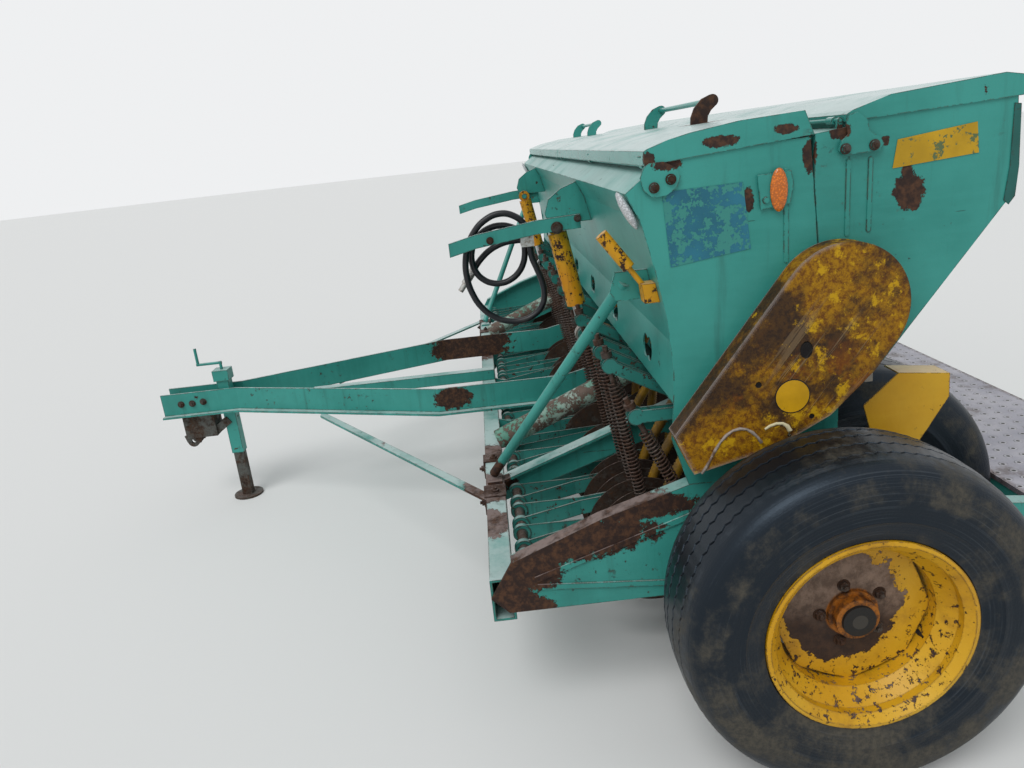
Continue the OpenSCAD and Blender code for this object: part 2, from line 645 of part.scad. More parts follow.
// Coulters: two strips from the rod to a body that carries two discs
arm_h = 42;
strip_t = 5;
// Half distance of the strips' middles at the rod and between the discs
arm_wide = 42;
arm_narrow = 10.3;
// Where the strips turn to run between the discs, ahead of the disc's centre
arm_bend = 172;
body_t = 16;
module coulter_arms() color("seagreen")
  for (i = [0:rows - 1]) {
    r = rank(i);
    x = row_x(i);
    pin = rod_pins[r];
    c = disc_centres[r];
    tail = pin + 24 * unit(pin - pivot);
    bend_y = c[0] - arm_bend;
    bend = [bend_y, pivot[1] + (pin[1] - pivot[1]) * (bend_y - pivot[0]) / (pin[0] - pivot[0])];
    difference() {
      union() {
        for (s = [-1, 1]) {
          rod_x(x + s * arm_wide - 8, x + s * arm_wide + 8, pivot, 24);
          bar([x + s * arm_wide, pivot[0] + 15, pivot[1]], [x + s * arm_narrow, bend[0] + 3, bend[1]],
            strip_t, arm_h);
          bar([x + s * arm_narrow, bend[0], bend[1]], [x + s * arm_narrow, tail[0], tail[1]], strip_t, arm_h);
        }
        rod_x(x - 14.5, x + 14.5, pin, 8);
        across(x - body_t / 2, x + body_t / 2)
          polygon([[pin[0] + 20, boot_top], [pin[0] + 68, boot_top], [c[0] + 40, c[1] + 10],
            [c[0] + 26, c[1] - 26], [c[0] - 26, c[1] - 26], [c[0] - 26, c[1] + 30], [pin[0] + 20, 375]]);
        across(x - 15.5, x + 15.5)
          polygon([[pin[0] + 21, boot_top - 36], [pin[0] + 21, boot_top], [pin[0] + 63, boot_top],
            [pin[0] + 63, boot_top - 36]]);
      }
      rod_x(x - 60, x + 60, pivot, pivot_r + run);
      rod_x(x - 20, x + 20, c, 18 + run);
    }
  }
// Discs lean together towards the front and below
disc_lean = 5;
disc_half_gap = 21.9;
module coulter_discs() color("slategray")
  for (i = [0:rows - 1]) {
    c = disc_centres[rank(i)];
    rod_x(row_x(i) - 30, row_x(i) + 30, c, 18);
    for (s = [-1, 1])
      translate([row_x(i) + s * disc_half_gap, axle_y + c[0], c[1]])
        rotate([45, 0, 0]) rotate([0, 0, -s * disc_lean]) rotate([0, 90, 0])
          translate([0, 0, -disc_t / 2]) cylinder(r = disc_r, h = disc_t);
  }
// Draws children along each spring rod of a rank, from its pin on the coulter up
module along_rods(r) {
  d = fork_eyes[r] - rod_pins[r];
  for (i = [0:rows - 1])
    if (rank(i) == r)
      translate([row_x(i), axle_y + rod_pins[r][0], rod_pins[r][1]])
        rotate([atan2(d[1], d[0]) - 90, 0, 0]) children();
}
function rod_reach(r) = norm(fork_eyes[r] - rod_pins[r]);
// Rods that hang in the forks, with an eye at the coulter's pin
spring_foot = 52;
spring_head = 45;
module spring_rods(r) color("sienna") along_rods(r) difference() {
  union() {
    translate([-6, 0, 0]) rotate([0, 90, 0]) cylinder(r = 16, h = 12);
    cylinder(r = rod_r, h = rod_reach(r) + 50);
    translate([0, 0, rod_reach(r) + 21]) cylinder(r = 14, h = 14);
    translate([0, 0, spring_foot - 8]) cylinder(r = spring_r, h = 8);
  }
  translate([-9, 0, 0]) rotate([0, 90, 0]) cylinder(r = 8 + run, h = 18);
}
module front_spring_rods() spring_rods(0);
module rear_spring_rods() spring_rods(1);
// Coil springs, drawn as sleeves of their outer and inner radius
module springs(r) color("saddlebrown") along_rods(r)
  translate([0, 0, spring_foot + run]) difference() {
    cylinder(r = spring_r, h = rod_reach(r) - spring_head - spring_foot - run);
    translate([0, 0, -1]) cylinder(r = rod_r + run, h = rod_reach(r));
  }
module front_springs() springs(0);
module rear_springs() springs(1);

// Wheels
tyre_section = [[197, -96], [214, -108], [250, -124], [300, -tyre_w / 2], [335, -120], [360, -100],
  [372, -70], [tyre_r, 0], [372, 70], [360, 100], [335, 120], [300, tyre_w / 2], [250, 124], [214, 108],
  [197, 96]];
module spun(at, x) {
  translate([x, axle_y + at[0], at[1]]) rotate([0, 90, 0]) rotate_extrude($fn = 96) children();
}
module tyre(at, x) color("dimgray") spun(at, x) polygon(tyre_section);
// Outer face of the wheel's disc and end of the hub's cap, outside the wheel's middle plane
disc_face = 22;
disc_corner_r = 166;
cap_end = 61;
module rim(at, x) color("gold") {
  spun(at, x) polygon([[196.7, -96.5], [rim_r, -108.5], [rim_r, -116], [204, -118], [188, -102],
    [188, -84], [162, -50], [162, 50], [188, 84], [188, 102], [204, 118], [rim_r, 116],
    [rim_r, 108.5], [196.7, 96.5], [196.7, 82], [170, 48], [170, -48], [196.7, -82]]);
  // Disc with eight corners that are welded into the rim's well
  difference() {
    rod_x(x + disc_face - 8, x + disc_face, at, disc_corner_r, $fn = 8);
    rod_x(x + disc_face - 9, x + disc_face + 1, at, 50);
  }
  spun(at, x) polygon([[stub_r + run, -90], [48, -90], [48, 4], [95, 8], [95, disc_face - 7],
    [52.5, disc_face - 7], [52.5, disc_face + 8], [45, disc_face + 8], [45, cap_end - 10],
    [34, cap_end - 8], [34, cap_end - 2], [20, cap_end], [0, cap_end], [0, cap_end - 17],
    [stub_r + run, cap_end - 17]]);
}
module tyre_outer_left() tyre([0, axle_z], side_x + outer_wheel_gap);
module rim_outer_left() rim([0, axle_z], side_x + outer_wheel_gap);
module tyre_outer_right() on_side(-1) tyre_outer_left();
module rim_outer_right() on_side(-1) rim_outer_left();
module tyre_inner_left() tyre(inner_axle, inner_x);
module rim_inner_left() rim(inner_axle, inner_x);
module tyre_inner_right() on_side(-1) tyre_inner_left();
module rim_inner_right() on_side(-1) rim_inner_left();

side_frame_left();
side_frame_right();
front_beam();
mid_beam();
rear_beam();
inner_rail_left();
inner_rail_right();
drawbar_left();
drawbar_right();
drawbar_centre();
drawbar_brace_left();
drawbar_brace_right();
hitch_block();
jack_socket();
jack_leg();
seed_box();
fertilizer_box();
seed_lid_left();
seed_lid_right();
fertilizer_lid_left();
fertilizer_lid_right();
seed_meters();
fertilizer_meters();
seed_tubes();
cylinder_bracket_left();
cylinder_bracket_right();
strut_left();
strut_right();
chain_guard_left();
chain_guard_right();
lower_guard_left();
lower_guard_right();
footboard();
lift_shaft();
cylinder_barrels();
cylinder_rods();
coulter_pivot_rod();
coulter_arms();
coulter_discs();
front_spring_rods();
rear_spring_rods();
front_springs();
rear_springs();
support_tubes();
rate_spindle();
hose_block();
hose_large();
hose_small();
hose_short();
hose_coupler();
tyre_outer_left();
rim_outer_left();
tyre_outer_right();
rim_outer_right();
tyre_inner_left();
rim_inner_left();
tyre_inner_right();
rim_inner_right();
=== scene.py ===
import math

import bmesh
import bpy
from mathutils import Matrix, Vector


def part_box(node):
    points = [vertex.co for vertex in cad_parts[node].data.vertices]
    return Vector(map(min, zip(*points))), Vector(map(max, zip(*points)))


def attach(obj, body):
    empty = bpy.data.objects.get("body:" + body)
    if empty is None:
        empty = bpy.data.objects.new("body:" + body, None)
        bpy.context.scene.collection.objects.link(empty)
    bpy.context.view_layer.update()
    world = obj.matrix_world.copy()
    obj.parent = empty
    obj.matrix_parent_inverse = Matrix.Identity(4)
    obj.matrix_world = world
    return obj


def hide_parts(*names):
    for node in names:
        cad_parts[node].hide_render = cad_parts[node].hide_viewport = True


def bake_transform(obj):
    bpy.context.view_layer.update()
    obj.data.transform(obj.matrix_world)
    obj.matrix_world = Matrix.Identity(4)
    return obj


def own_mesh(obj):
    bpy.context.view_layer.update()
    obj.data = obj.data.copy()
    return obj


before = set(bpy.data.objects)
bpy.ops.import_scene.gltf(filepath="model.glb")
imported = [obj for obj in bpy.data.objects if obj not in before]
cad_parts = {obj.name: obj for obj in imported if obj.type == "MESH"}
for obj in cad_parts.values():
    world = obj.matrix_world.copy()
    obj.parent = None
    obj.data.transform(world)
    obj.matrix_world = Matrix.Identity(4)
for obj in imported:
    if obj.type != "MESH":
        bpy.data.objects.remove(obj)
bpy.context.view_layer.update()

# Camera at the photograph's place, beside the near wheel at head height. It
# looks across the machine and a little down at the drawbar.
camera_place = Vector((3.214, -0.142, 1.371))
camera_right = Vector((0.04629, 0.99372, -0.10184))
camera_up = Vector((-0.29257, 0.11096, 0.94979))
camera_back = Vector((0.95512, -0.01417, 0.29587))
camera_data = bpy.data.cameras.new("camera")
camera_data.lens = 27.06
camera_data.sensor_width = 36.0
camera_data.clip_start = 0.05
camera = bpy.data.objects.new("camera", camera_data)
camera_turn = Matrix((camera_right, camera_up, camera_back)).transposed()
camera.matrix_world = Matrix.Translation(camera_place) @ camera_turn.to_4x4()
bpy.context.scene.collection.objects.link(camera)
bpy.context.scene.camera = camera


# Hydraulic hoses of the left cylinder: black rubber over wire, 20 mm thick.
# Two loop from the block under the bracket's arm back into it, and a short
# one ends in a quick coupler.
class Finish:
    """The node tree of one material, with short calls for what the finishes share."""

    def __init__(self, name, roughness=0.5, metallic=0.0, mirror=0.3):
        self.material = bpy.data.materials.new(name)
        self.material.use_nodes = True
        self.tree = self.material.node_tree
        self.shader = self.tree.nodes["Principled BSDF"]
        self.shader.inputs["Roughness"].default_value = roughness
        self.shader.inputs["Metallic"].default_value = metallic
        self.shader.inputs["Specular IOR Level"].default_value = mirror
        self.place = self.tree.nodes.new("ShaderNodeTexCoord").outputs["Object"]

    def node(self, kind, settings=(), **inputs):
        made = self.tree.nodes.new("ShaderNode" + kind)
        for key, value in dict(settings).items():
            setattr(made, key, value)
        for key, value in inputs.items():
            self.put(made.inputs[key], value)
        return made

    def put(self, socket, value):
        if isinstance(value, bpy.types.NodeSocket):
            self.tree.links.new(value, socket)
        else:
            socket.default_value = value

    def math(self, operation, a, b=0.0):
        made = self.node("Math", {"operation": operation})
        self.put(made.inputs[0], a)
        self.put(made.inputs[1], b)
        return made.outputs[0]

    def chain(self, operation, values):
        result = values[0]
        for value in values[1:]:
            result = self.math(operation, result, value)
        return result

    def times(self, *values):
        return self.chain("MULTIPLY", values)

    def plus(self, *values):
        return self.chain("ADD", values)

    def most(self, *values):
        return self.chain("MAXIMUM", values)

    def grain(self, scale, detail, roughness, stretch=(1, 1, 1), shift=(0, 0, 0)):
        """Cloudy noise; detail adds finer and finer grain to it."""
        mapped = self.node("Mapping", Vector=self.place, Scale=stretch, Location=shift)
        return self.noise(mapped, scale, detail, roughness)

    def noise(self, mapped, scale, detail, roughness):
        made = self.node("TexNoise", Vector=mapped.outputs[0], Scale=scale, Detail=detail,
                         Roughness=roughness)
        return made.outputs["Fac"]

    def over(self, value, low, high):
        """0 up to low, rising to 1 at high."""
        made = self.node("MapRange", {"interpolation_type": "SMOOTHSTEP"}, Value=value)
        made.inputs["From Min"].default_value = low
        made.inputs["From Max"].default_value = high
        return made.outputs["Result"]

    def under(self, value, low, high):
        """1 up to low, falling to 0 at high."""
        return self.math("SUBTRACT", 1.0, self.over(value, low, high))

    def mix(self, share, a, b):
        made = self.node("Mix", {"data_type": "RGBA"})
        self.put(made.inputs["Factor"], share)
        self.put(made.inputs[6], a)
        self.put(made.inputs[7], b)
        return made.outputs[2]

    def axis(self, name):
        return self.node("SeparateXYZ", Vector=self.place).outputs[name]

    def bump(self, height, depth):
        """Adds relief on top of the relief that is there."""
        made = self.node("Bump", Height=height, Distance=depth)
        made.inputs["Strength"].default_value = 1.0
        if self.shader.inputs["Normal"].is_linked:
            self.put(made.inputs["Normal"], self.shader.inputs["Normal"].links[0].from_socket)
        self.put(self.shader.inputs["Normal"], made.outputs[0])

    def colour(self, socket):
        self.put(self.shader.inputs["Base Color"], socket)

    def gloss(self, socket):
        self.put(self.shader.inputs["Roughness"], socket)


def dress(material, *nodes):
    """Gives CAD nodes a material in place of their own."""
    for name in nodes:
        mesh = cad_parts[name].data
        mesh.materials.clear()
        mesh.materials.append(material)


def hose_rubber(name):
    f = Finish(name, roughness=0.36, mirror=0.4)
    dust = f.over(f.grain(14.0, 6, 0.65), 0.50, 0.80)
    f.colour(f.mix(dust, (0.006, 0.007, 0.010, 1), (0.034, 0.032, 0.030, 1)))
    f.bump(f.grain(220.0, 3, 0.6), 0.0004)
    return f.material


def worn_zinc(name):
    f = Finish(name, roughness=0.42, metallic=0.75)
    film = f.over(f.grain(60.0, 5, 0.7), 0.45, 0.65)
    f.colour(f.mix(film, (0.50, 0.50, 0.48, 1), (0.22, 0.17, 0.13, 1)))
    f.bump(f.grain(200.0, 3, 0.6), 0.0003)
    return f.material


axle_y = (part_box("tyre_outer_left")[0].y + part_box("tyre_outer_left")[1].y) / 2


def spot_at(x, y, z):
    """A place on the machine: y from the outer axle, all in metres."""
    return Vector((x, axle_y + y, z))


hose_radius = 0.010
black_rubber = hose_rubber("black_hose")
dress(worn_zinc("zinc_plated"), "hose_block", "hose_coupler")

large_route = [
    (-0.535, 1.066), (-0.532, 1.030), (-0.519, 0.990), (-0.507, 0.950), (-0.503, 0.910),
    (-0.514, 0.872), (-0.540, 0.846), (-0.580, 0.832), (-0.625, 0.834), (-0.668, 0.852),
    (-0.705, 0.887), (-0.730, 0.935), (-0.741, 0.985), (-0.740, 1.035), (-0.728, 1.080),
    (-0.705, 1.122), (-0.668, 1.156), (-0.620, 1.172), (-0.576, 1.161), (-0.547, 1.133),
    (-0.536, 1.094)]
small_route = [
    (-0.550, 1.066), (-0.552, 1.036), (-0.560, 1.008), (-0.577, 0.982), (-0.602, 0.963),
    (-0.632, 0.954), (-0.663, 0.957), (-0.691, 0.972), (-0.711, 0.997), (-0.720, 1.028),
    (-0.718, 1.060), (-0.706, 1.091), (-0.683, 1.115), (-0.653, 1.130), (-0.622, 1.134),
    (-0.592, 1.128), (-0.568, 1.114), (-0.552, 1.094)]
short_route = [
    (-0.561, 1.080), (-0.576, 1.080), (-0.588, 1.080), (-0.600, 1.079), (-0.612, 1.077),
    (-0.624, 1.074), (-0.636, 1.070), (-0.648, 1.065), (-0.659, 1.059), (-0.670, 1.052),
    (-0.680, 1.044), (-0.689, 1.036), (-0.698, 1.027), (-0.706, 1.018), (-0.713, 1.009)]


def hose(name, x, route):
    data = bpy.data.curves.new(name, "CURVE")
    data.dimensions = "3D"
    data.resolution_u = 6
    data.bevel_depth = hose_radius
    data.bevel_resolution = 4
    data.use_fill_caps = True
    spline = data.splines.new("BEZIER")
    spline.bezier_points.add(len(route) - 1)
    places = [spot_at(x, y, z) for y, z in route]
    for point, place in zip(spline.bezier_points, places):
        point.co = place
        point.handle_left_type = "AUTO"
        point.handle_right_type = "AUTO"
    data.materials.append(black_rubber)
    laid = bpy.data.objects.new(name, data)
    bpy.context.scene.collection.objects.link(laid)
    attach(laid, "root")
    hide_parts(name)


hose("hose_large", 0.798, large_route)
hose("hose_small", 0.774, small_route)
hose("hose_short", 0.750, short_route)


# Plain pale floor and soft light from an overcast sky, with a broad sun high
# over the camera's shoulder so that the pressed sheets show their bends.
def pale_floor(reach, colour):
    bm = bmesh.new()
    bmesh.ops.create_circle(bm, cap_ends=True, segments=96, radius=reach)
    mesh = bpy.data.meshes.new("floor")
    bm.to_mesh(mesh)
    bm.free()
    floor = bpy.data.objects.new("floor", mesh)
    bpy.context.scene.collection.objects.link(floor)
    material = bpy.data.materials.new("floor")
    material.use_nodes = True
    shader = material.node_tree.nodes["Principled BSDF"]
    shader.inputs["Base Color"].default_value = colour
    shader.inputs["Roughness"].default_value = 0.9
    mesh.materials.append(material)


def sky(seen, light, strength):
    world = bpy.data.worlds.new("sky")
    world.use_nodes = True
    tree = world.node_tree
    background = tree.nodes["Background"]
    lit = tree.nodes.new("ShaderNodeBackground")
    rays = tree.nodes.new("ShaderNodeLightPath")
    mirror = tree.nodes.new("ShaderNodeMath")
    mirror.operation = "MAXIMUM"
    either = tree.nodes.new("ShaderNodeMath")
    either.operation = "MAXIMUM"
    blend = tree.nodes.new("ShaderNodeMixShader")
    background.inputs["Color"].default_value = seen
    background.inputs["Strength"].default_value = 1.0
    lit.inputs["Color"].default_value = light
    lit.inputs["Strength"].default_value = strength
    tree.links.new(rays.outputs["Is Glossy Ray"], mirror.inputs[0])
    tree.links.new(rays.outputs["Is Transmission Ray"], mirror.inputs[1])
    tree.links.new(rays.outputs["Is Camera Ray"], either.inputs[0])
    tree.links.new(mirror.outputs[0], either.inputs[1])
    tree.links.new(either.outputs[0], blend.inputs["Fac"])
    tree.links.new(lit.outputs[0], blend.inputs[1])
    tree.links.new(background.outputs[0], blend.inputs[2])
    tree.links.new(blend.outputs[0], tree.nodes["World Output"].inputs["Surface"])
    bpy.context.scene.world = world


pale_floor(60.0, (0.72, 0.72, 0.71, 1))
sky((0.86, 0.87, 0.88, 1), (0.95, 0.98, 1.0, 1), 0.62)
sun_data = bpy.data.lights.new("sun", "SUN")
sun_data.energy = 1.5
sun_data.angle = math.radians(35)
sun = bpy.data.objects.new("sun", sun_data)
sun.rotation_euler = (math.radians(20), math.radians(32), 0)
bpy.context.scene.collection.objects.link(sun)
bpy.context.scene.view_settings.view_transform = "Standard"

# Side frames: pressed steel plates under the boxes' ends, with flanges, in
# teal green paint that has chalked on top, with a painted sky sheen there, and let rust through in chips.
# The near plate's front lower corner is torn and has rusted right through.
teal = (0.026, 0.222, 0.188, 1)
teal_faded = (0.046, 0.300, 0.258, 1)
rust_dark = (0.026, 0.014, 0.011, 1)
rust_warm = (0.088, 0.040, 0.020, 1)
rust_pale_sheen = (0.265, 0.205, 0.190, 1)
soil = (0.050, 0.044, 0.030)
frame_face = 1.645


def shade(colour, share, white=0.0):
    """A colour made darker, or paler by some white."""
    return tuple(share * c + white for c in colour[:3]) + (1,)


def facing_up(f, low=0.55, high=0.95):
    normal = f.node("NewGeometry").outputs["Normal"]
    return f.over(f.node("SeparateXYZ", Vector=normal).outputs["Z"], low, high)


def worn_edges(f, width):
    """1 along sharp edges: where a rounded normal leaves the true one."""
    rounded = f.node("Bevel", {"samples": 4}, Radius=width).outputs[0]
    true = f.node("NewGeometry").outputs["Normal"]
    same = f.node("VectorMath", {"operation": "DOT_PRODUCT"})
    f.put(same.inputs[0], rounded)
    f.put(same.inputs[1], true)
    return f.over(f.math("SUBTRACT", 1.0, same.outputs["Value"]), 0.02, 0.16)


def length_of(f, mapped):
    made = f.node("VectorMath", {"operation": "LENGTH"})
    f.put(made.inputs[0], mapped.outputs[0])
    return made.outputs["Value"]


def near(f, centre, radius, soft, squeeze=(1, 1, 1)):
    """1 inside a ball round a place, falling to 0 over soft."""
    back = tuple(-c * s for c, s in zip(centre, squeeze))
    gap = length_of(f, f.node("Mapping", Vector=f.place, Scale=squeeze, Location=back))
    return f.under(gap, radius - soft, radius + soft)


def rust_colour(f, scale):
    """Dark brown with warmer blotches, paler and pinkish where it faces the sky: dry rust with a painted
    sky sheen.
    """
    blotch = f.over(f.grain(scale, 6, 0.7), 0.40, 0.68)
    brown = f.mix(blotch, rust_dark, rust_warm)
    # Upward faces are painted pale pink-grey: dry rust and a painted sheen of the sky.
    dry = f.times(facing_up(f, 0.5, 0.95), f.over(f.grain(17.0, 6, 0.7), 0.36, 0.60))
    return f.mix(f.times(dry, 0.75), brown, rust_pale_sheen)


def old_paint(name, fresh, faded, chips=0.5, edges=0.5, chalk_and_sheen=0.5, dirt=0.4, gloss=0.42, spots=(),
              edge_width=0.004, streaks=(1, 1, 7), scratches=0.0):
    """Paint with chips, worn edges, run-down dirt, and chalking with a painted sky sheen on top, as shares
    from 0 to 1.

    A rust spot is its centre, its radius and, where it is oval, how far it is squeezed."""
    f = Finish(name, roughness=gloss)
    tone = f.over(f.grain(2.3, 5, 0.55), 0.35, 0.68)
    brushed = f.over(f.grain(9.0, 3, 0.5, stretch=streaks), 0.35, 0.75)
    colour = f.mix(f.times(brushed, 0.3), f.mix(tone, fresh, faded), faded)
    # Upward faces are painted paler: chalked paint and a painted sheen of the sky.
    top = f.times(f.times(facing_up(f), chalk_and_sheen), f.over(f.grain(5.0, 6, 0.6), 0.22, 0.55))
    colour = f.mix(top, colour, shade(faded, 0.45, 0.40))

    cloud = f.over(f.grain(3.1, 7, 0.66, shift=(5.2, 1.1, 2.4)), 0.50, 0.74)
    runs = f.over(f.grain(8.0, 6, 0.62, stretch=(3.2, 3.2, 0.28)), 0.53, 0.76)
    stain = f.times(f.most(runs, f.times(cloud, 0.55)), dirt)
    colour = f.mix(stain, colour, tuple(0.35 * c + 0.3 * d for c, d in zip(fresh, soil)) + (1,))

    small = f.over(f.grain(46.0, 5, 0.72), 0.665 - 0.06 * chips, 0.69 - 0.06 * chips)
    where = f.over(f.grain(3.4, 5, 0.6, shift=(3.1, 0.7, 5.2)), 0.62 - 0.22 * chips, 0.80 - 0.22 * chips)
    flakes = f.grain(13.0, 7, 0.68, shift=(1.3, 4.1, 0.2))
    flakes = f.over(flakes, 0.735 - 0.08 * chips, 0.75 - 0.08 * chips)
    broken = f.over(f.grain(24.0, 6, 0.72), 0.60 - 0.2 * edges, 0.64 - 0.2 * edges)
    bare = f.most(f.times(small, where), flakes, f.times(worn_edges(f, edge_width), broken))
    if scratches > 0:
        line = f.node("Mapping", Vector=f.place, Scale=(1.0, 2.2, 46.0), Rotation=(-0.42, 0, 0))
        cut = f.noise(line, 4.2, 2.0, 0.5)
        bare = f.most(bare, f.over(cut, 0.80 - 0.07 * scratches, 0.82 - 0.07 * scratches))
    for centre, radius, *squeeze in spots:
        ball = near(f, centre, radius, radius * 0.9, *squeeze)
        ragged = f.times(f.grain(1.1 / radius + 10.0, 8, 0.78, shift=(0.3, 1.7, 0.9)), 1.5)
        spot_share = f.over(f.plus(ball, ragged), 1.24, 1.28)
        bare = f.most(bare, f.times(spot_share, f.over(ball, 0.02, 0.1)))

    f.colour(f.mix(bare, colour, rust_colour(f, 60.0)))
    f.gloss(f.plus(f.times(bare, 0.42), gloss))
    f.bump(f.times(bare, -1.0), 0.0006)
    f.bump(f.grain(3.0, 3, 0.5), 0.004)
    f.bump(f.grain(140.0, 3, 0.5), 0.00025)
    return f.material


frame_paint = old_paint(
    "frame_paint", teal, teal_faded, chips=0.72, edges=0.8, chalk_and_sheen=0.6, dirt=0.5, scratches=0.5,
    spots=((spot_at(frame_face, -0.72, 0.360), 0.062, (1, 0.75, 1)),
           (spot_at(frame_face, -0.655, 0.425), 0.050, (1, 0.6, 1)),
           (spot_at(frame_face, -0.660, 0.335), 0.030, (1, 0.5, 1)),
           (spot_at(frame_face - 0.005, -0.56, 0.500), 0.055, (0.5, 0.26, 1)),
           (spot_at(frame_face - 0.005, -0.40, 0.560), 0.030, (0.5, 0.2, 1))))
dress(frame_paint, "side_frame_left", "side_frame_right")

# Beams, rails and drawbar: tubes and angles in the same green, with more
# rust at their corners, a chalky top with a painted reflection of the sky, and rusty bolts.
beam_low, beam_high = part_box("front_beam")
beam_paint = old_paint(
    "beam_paint", teal, teal_faded, chips=0.82, edges=0.9, chalk_and_sheen=0.95, dirt=0.5, edge_width=0.006,
    streaks=(1, 7, 1), scratches=0.4,
    spots=((spot_at(1.12, -0.735, beam_high.z), 0.085, (0.8, 1, 1)),
           (spot_at(0.40, -0.86, 0.47), 0.045, (1, 0.6, 1)),
           (spot_at(1.35, -0.735, beam_high.z), 0.050, (0.6, 1, 1)),
           (spot_at(0.83, -0.735, beam_high.z), 0.050),
           (spot_at(-0.39, -0.80, 0.47), 0.10, (1, 0.5, 1))))
dress(beam_paint, "front_beam", "mid_beam", "rear_beam", "inner_rail_left", "inner_rail_right",
      "drawbar_left", "drawbar_right", "drawbar_centre", "drawbar_brace_left",
      "drawbar_brace_right", "jack_socket", "strut_left", "strut_right",
      "cylinder_bracket_left", "cylinder_bracket_right")


def bare_steel(name, clean, rusty, share=0.5, metallic=0.6, roughness=0.55):
    """Steel without paint, rusty over about the given share of it."""
    f = Finish(name, roughness=roughness, metallic=metallic)
    patch = f.over(f.grain(16.0, 7, 0.7), 0.60 - 0.3 * share, 0.74 - 0.3 * share)
    fine = f.over(f.grain(120.0, 4, 0.6), 0.35, 0.7)
    colour = f.mix(fine, clean, shade(clean, 0.7))
    f.colour(f.mix(patch, colour, f.mix(fine, rusty, rust_colour(f, 35.0))))
    f.gloss(f.plus(f.times(patch, 0.3), roughness))
    f.bump(f.times(f.grain(90.0, 5, 0.7), patch), 0.0008)
    return f.material


def fitted(name, bm, material, body, crease=35):
    """Makes a bmesh a finished piece that rides on a body, or on none where it bends."""
    bmesh.ops.remove_doubles(bm, verts=bm.verts, dist=1e-6)
    bmesh.ops.recalc_face_normals(bm, faces=bm.faces)
    mesh = bpy.data.meshes.new(name)
    bm.to_mesh(mesh)
    bm.free()
    mesh.polygons.foreach_set("use_smooth", [True] * len(mesh.polygons))
    mesh.set_sharp_from_angle(angle=math.radians(crease))
    mesh.materials.append(material)
    made = bpy.data.objects.new(name, mesh)
    bpy.context.scene.collection.objects.link(made)
    if body:
        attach(made, body)
    return made


def stub(bm, place, towards, radius, depth, sides=16, start=0.0):
    """A short round or many-sided bar that stands on a surface."""
    turn = towards.to_track_quat("Z", "Y").to_matrix().to_4x4()
    middle = Matrix.Translation(place + towards * (start + depth / 2))
    bmesh.ops.create_cone(bm, cap_ends=True, segments=sides, radius1=radius, radius2=radius,
                          depth=depth, matrix=middle @ turn)


def bolt(bm, place, towards, across=0.010, head=0.007, end=0.006):
    """A washer, a hexagon nut and the end of its bolt, standing on a surface."""
    washer = 0.002
    stub(bm, place, towards, across * 1.45, washer, 20)
    stub(bm, place, towards, across * 1.12, head, 6, washer)
    stub(bm, place, towards, across * 0.52, end, 12, washer + head)


rusty_bolt = bare_steel("rusty_bolt", (0.085, 0.072, 0.062, 1), (0.062, 0.034, 0.022, 1), 0.7, 0.4)
tip_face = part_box("hitch_block")[1].x + 0.008
arm_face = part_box("cylinder_bracket_left")[1].x
bm = bmesh.new()
for side in (1, -1):
    outwards = Vector((side, 0, 0))
    for y, z in ((-2.031, 0.464), (-1.984, 0.463), (-1.937, 0.466)):
        bolt(bm, spot_at(side * tip_face, y, z), outwards)
    for y, z, across in ((-0.657, 1.098, 0.008), (-0.450, 1.115, 0.013), (-0.385, 1.137, 0.008)):
        bolt(bm, spot_at(side * arm_face, y, z), outwards, across)
fitted("frame_bolts", bm, rusty_bolt, "root")

# Clamps that hold the struts and the drawbar's feet on the front beam: bent
# flat steel over its top and front, rusted all over and bolted twice.
clamp_rust = bare_steel("clamp_rust", (0.150, 0.110, 0.100, 1), (0.060, 0.034, 0.024, 1), 0.75, 0.2)
flat_steel = 0.006
clamp_reach = 0.062
clamp_drop = 0.061


def flat_bar(bm, middle, size):
    placed = Matrix.Translation(middle) @ Matrix.Diagonal(size + (1,))
    return bmesh.ops.create_cube(bm, size=1.0, matrix=placed)["verts"]


bm = bmesh.new()
for side in (1, -1):
    for x, width in ((1.155, 0.075), (0.905, 0.060)):
        lying = flat_bar(bm, (side * x, beam_low.y + 0.0275, beam_high.z + 0.0035),
                         (width, clamp_reach, flat_steel))
        hanging = flat_bar(bm, (side * x, beam_low.y - 0.0035, beam_high.z - 0.024),
                           (width, flat_steel, clamp_drop))
        edges = {e for v in lying + hanging for e in v.link_edges}
        bmesh.ops.bevel(bm, geom=list(edges), offset=0.0018, affect="EDGES", segments=2, profile=0.5,
                        material=-1)
        front = Vector((side * x, beam_low.y - 0.0065, beam_high.z - 0.030))
        bolt(bm, front, Vector((0, -1, 0)), 0.009)
        top = Vector((side * (x + 0.015), beam_low.y + 0.0275, beam_high.z + 0.0065))
        bolt(bm, top, Vector((0, 0, 1)), 0.010)
fitted("beam_clamps", bm, clamp_rust, "root")


# Slanted tubes from the front beam to the box beam: paint that has bleached
# almost white and peels off in flakes down to brown steel.
def peeling_paint(name):
    f = Finish(name, roughness=0.6)
    tone = f.over(f.grain(6.0, 6, 0.6), 0.35, 0.65)
    colour = f.mix(tone, (0.10, 0.27, 0.20, 1), (0.36, 0.44, 0.38, 1))
    steel = f.mix(f.grain(40.0, 5, 0.7), (0.055, 0.036, 0.026, 1), (0.16, 0.11, 0.085, 1))
    flakes = f.over(f.grain(22.0, 9, 0.76), 0.485, 0.515)
    small = f.over(f.grain(70.0, 5, 0.7, shift=(2, 1, 4)), 0.56, 0.60)
    bare = f.most(flakes, small)
    f.colour(f.mix(bare, colour, steel))
    f.bump(f.times(bare, -1.0), 0.0010)
    return f.material


dress(peeling_paint("peeling_paint"), "support_tubes")

# Hitch block, pivot rod and jack leg: bare steel gone dull brown with
# handling marks, never painted since new.
dull_steel = bare_steel("dull_steel", (0.105, 0.108, 0.098, 1), (0.075, 0.055, 0.042, 1), 0.6, 0.35)
dress(dull_steel, "hitch_block", "coulter_pivot_rod", "jack_leg")

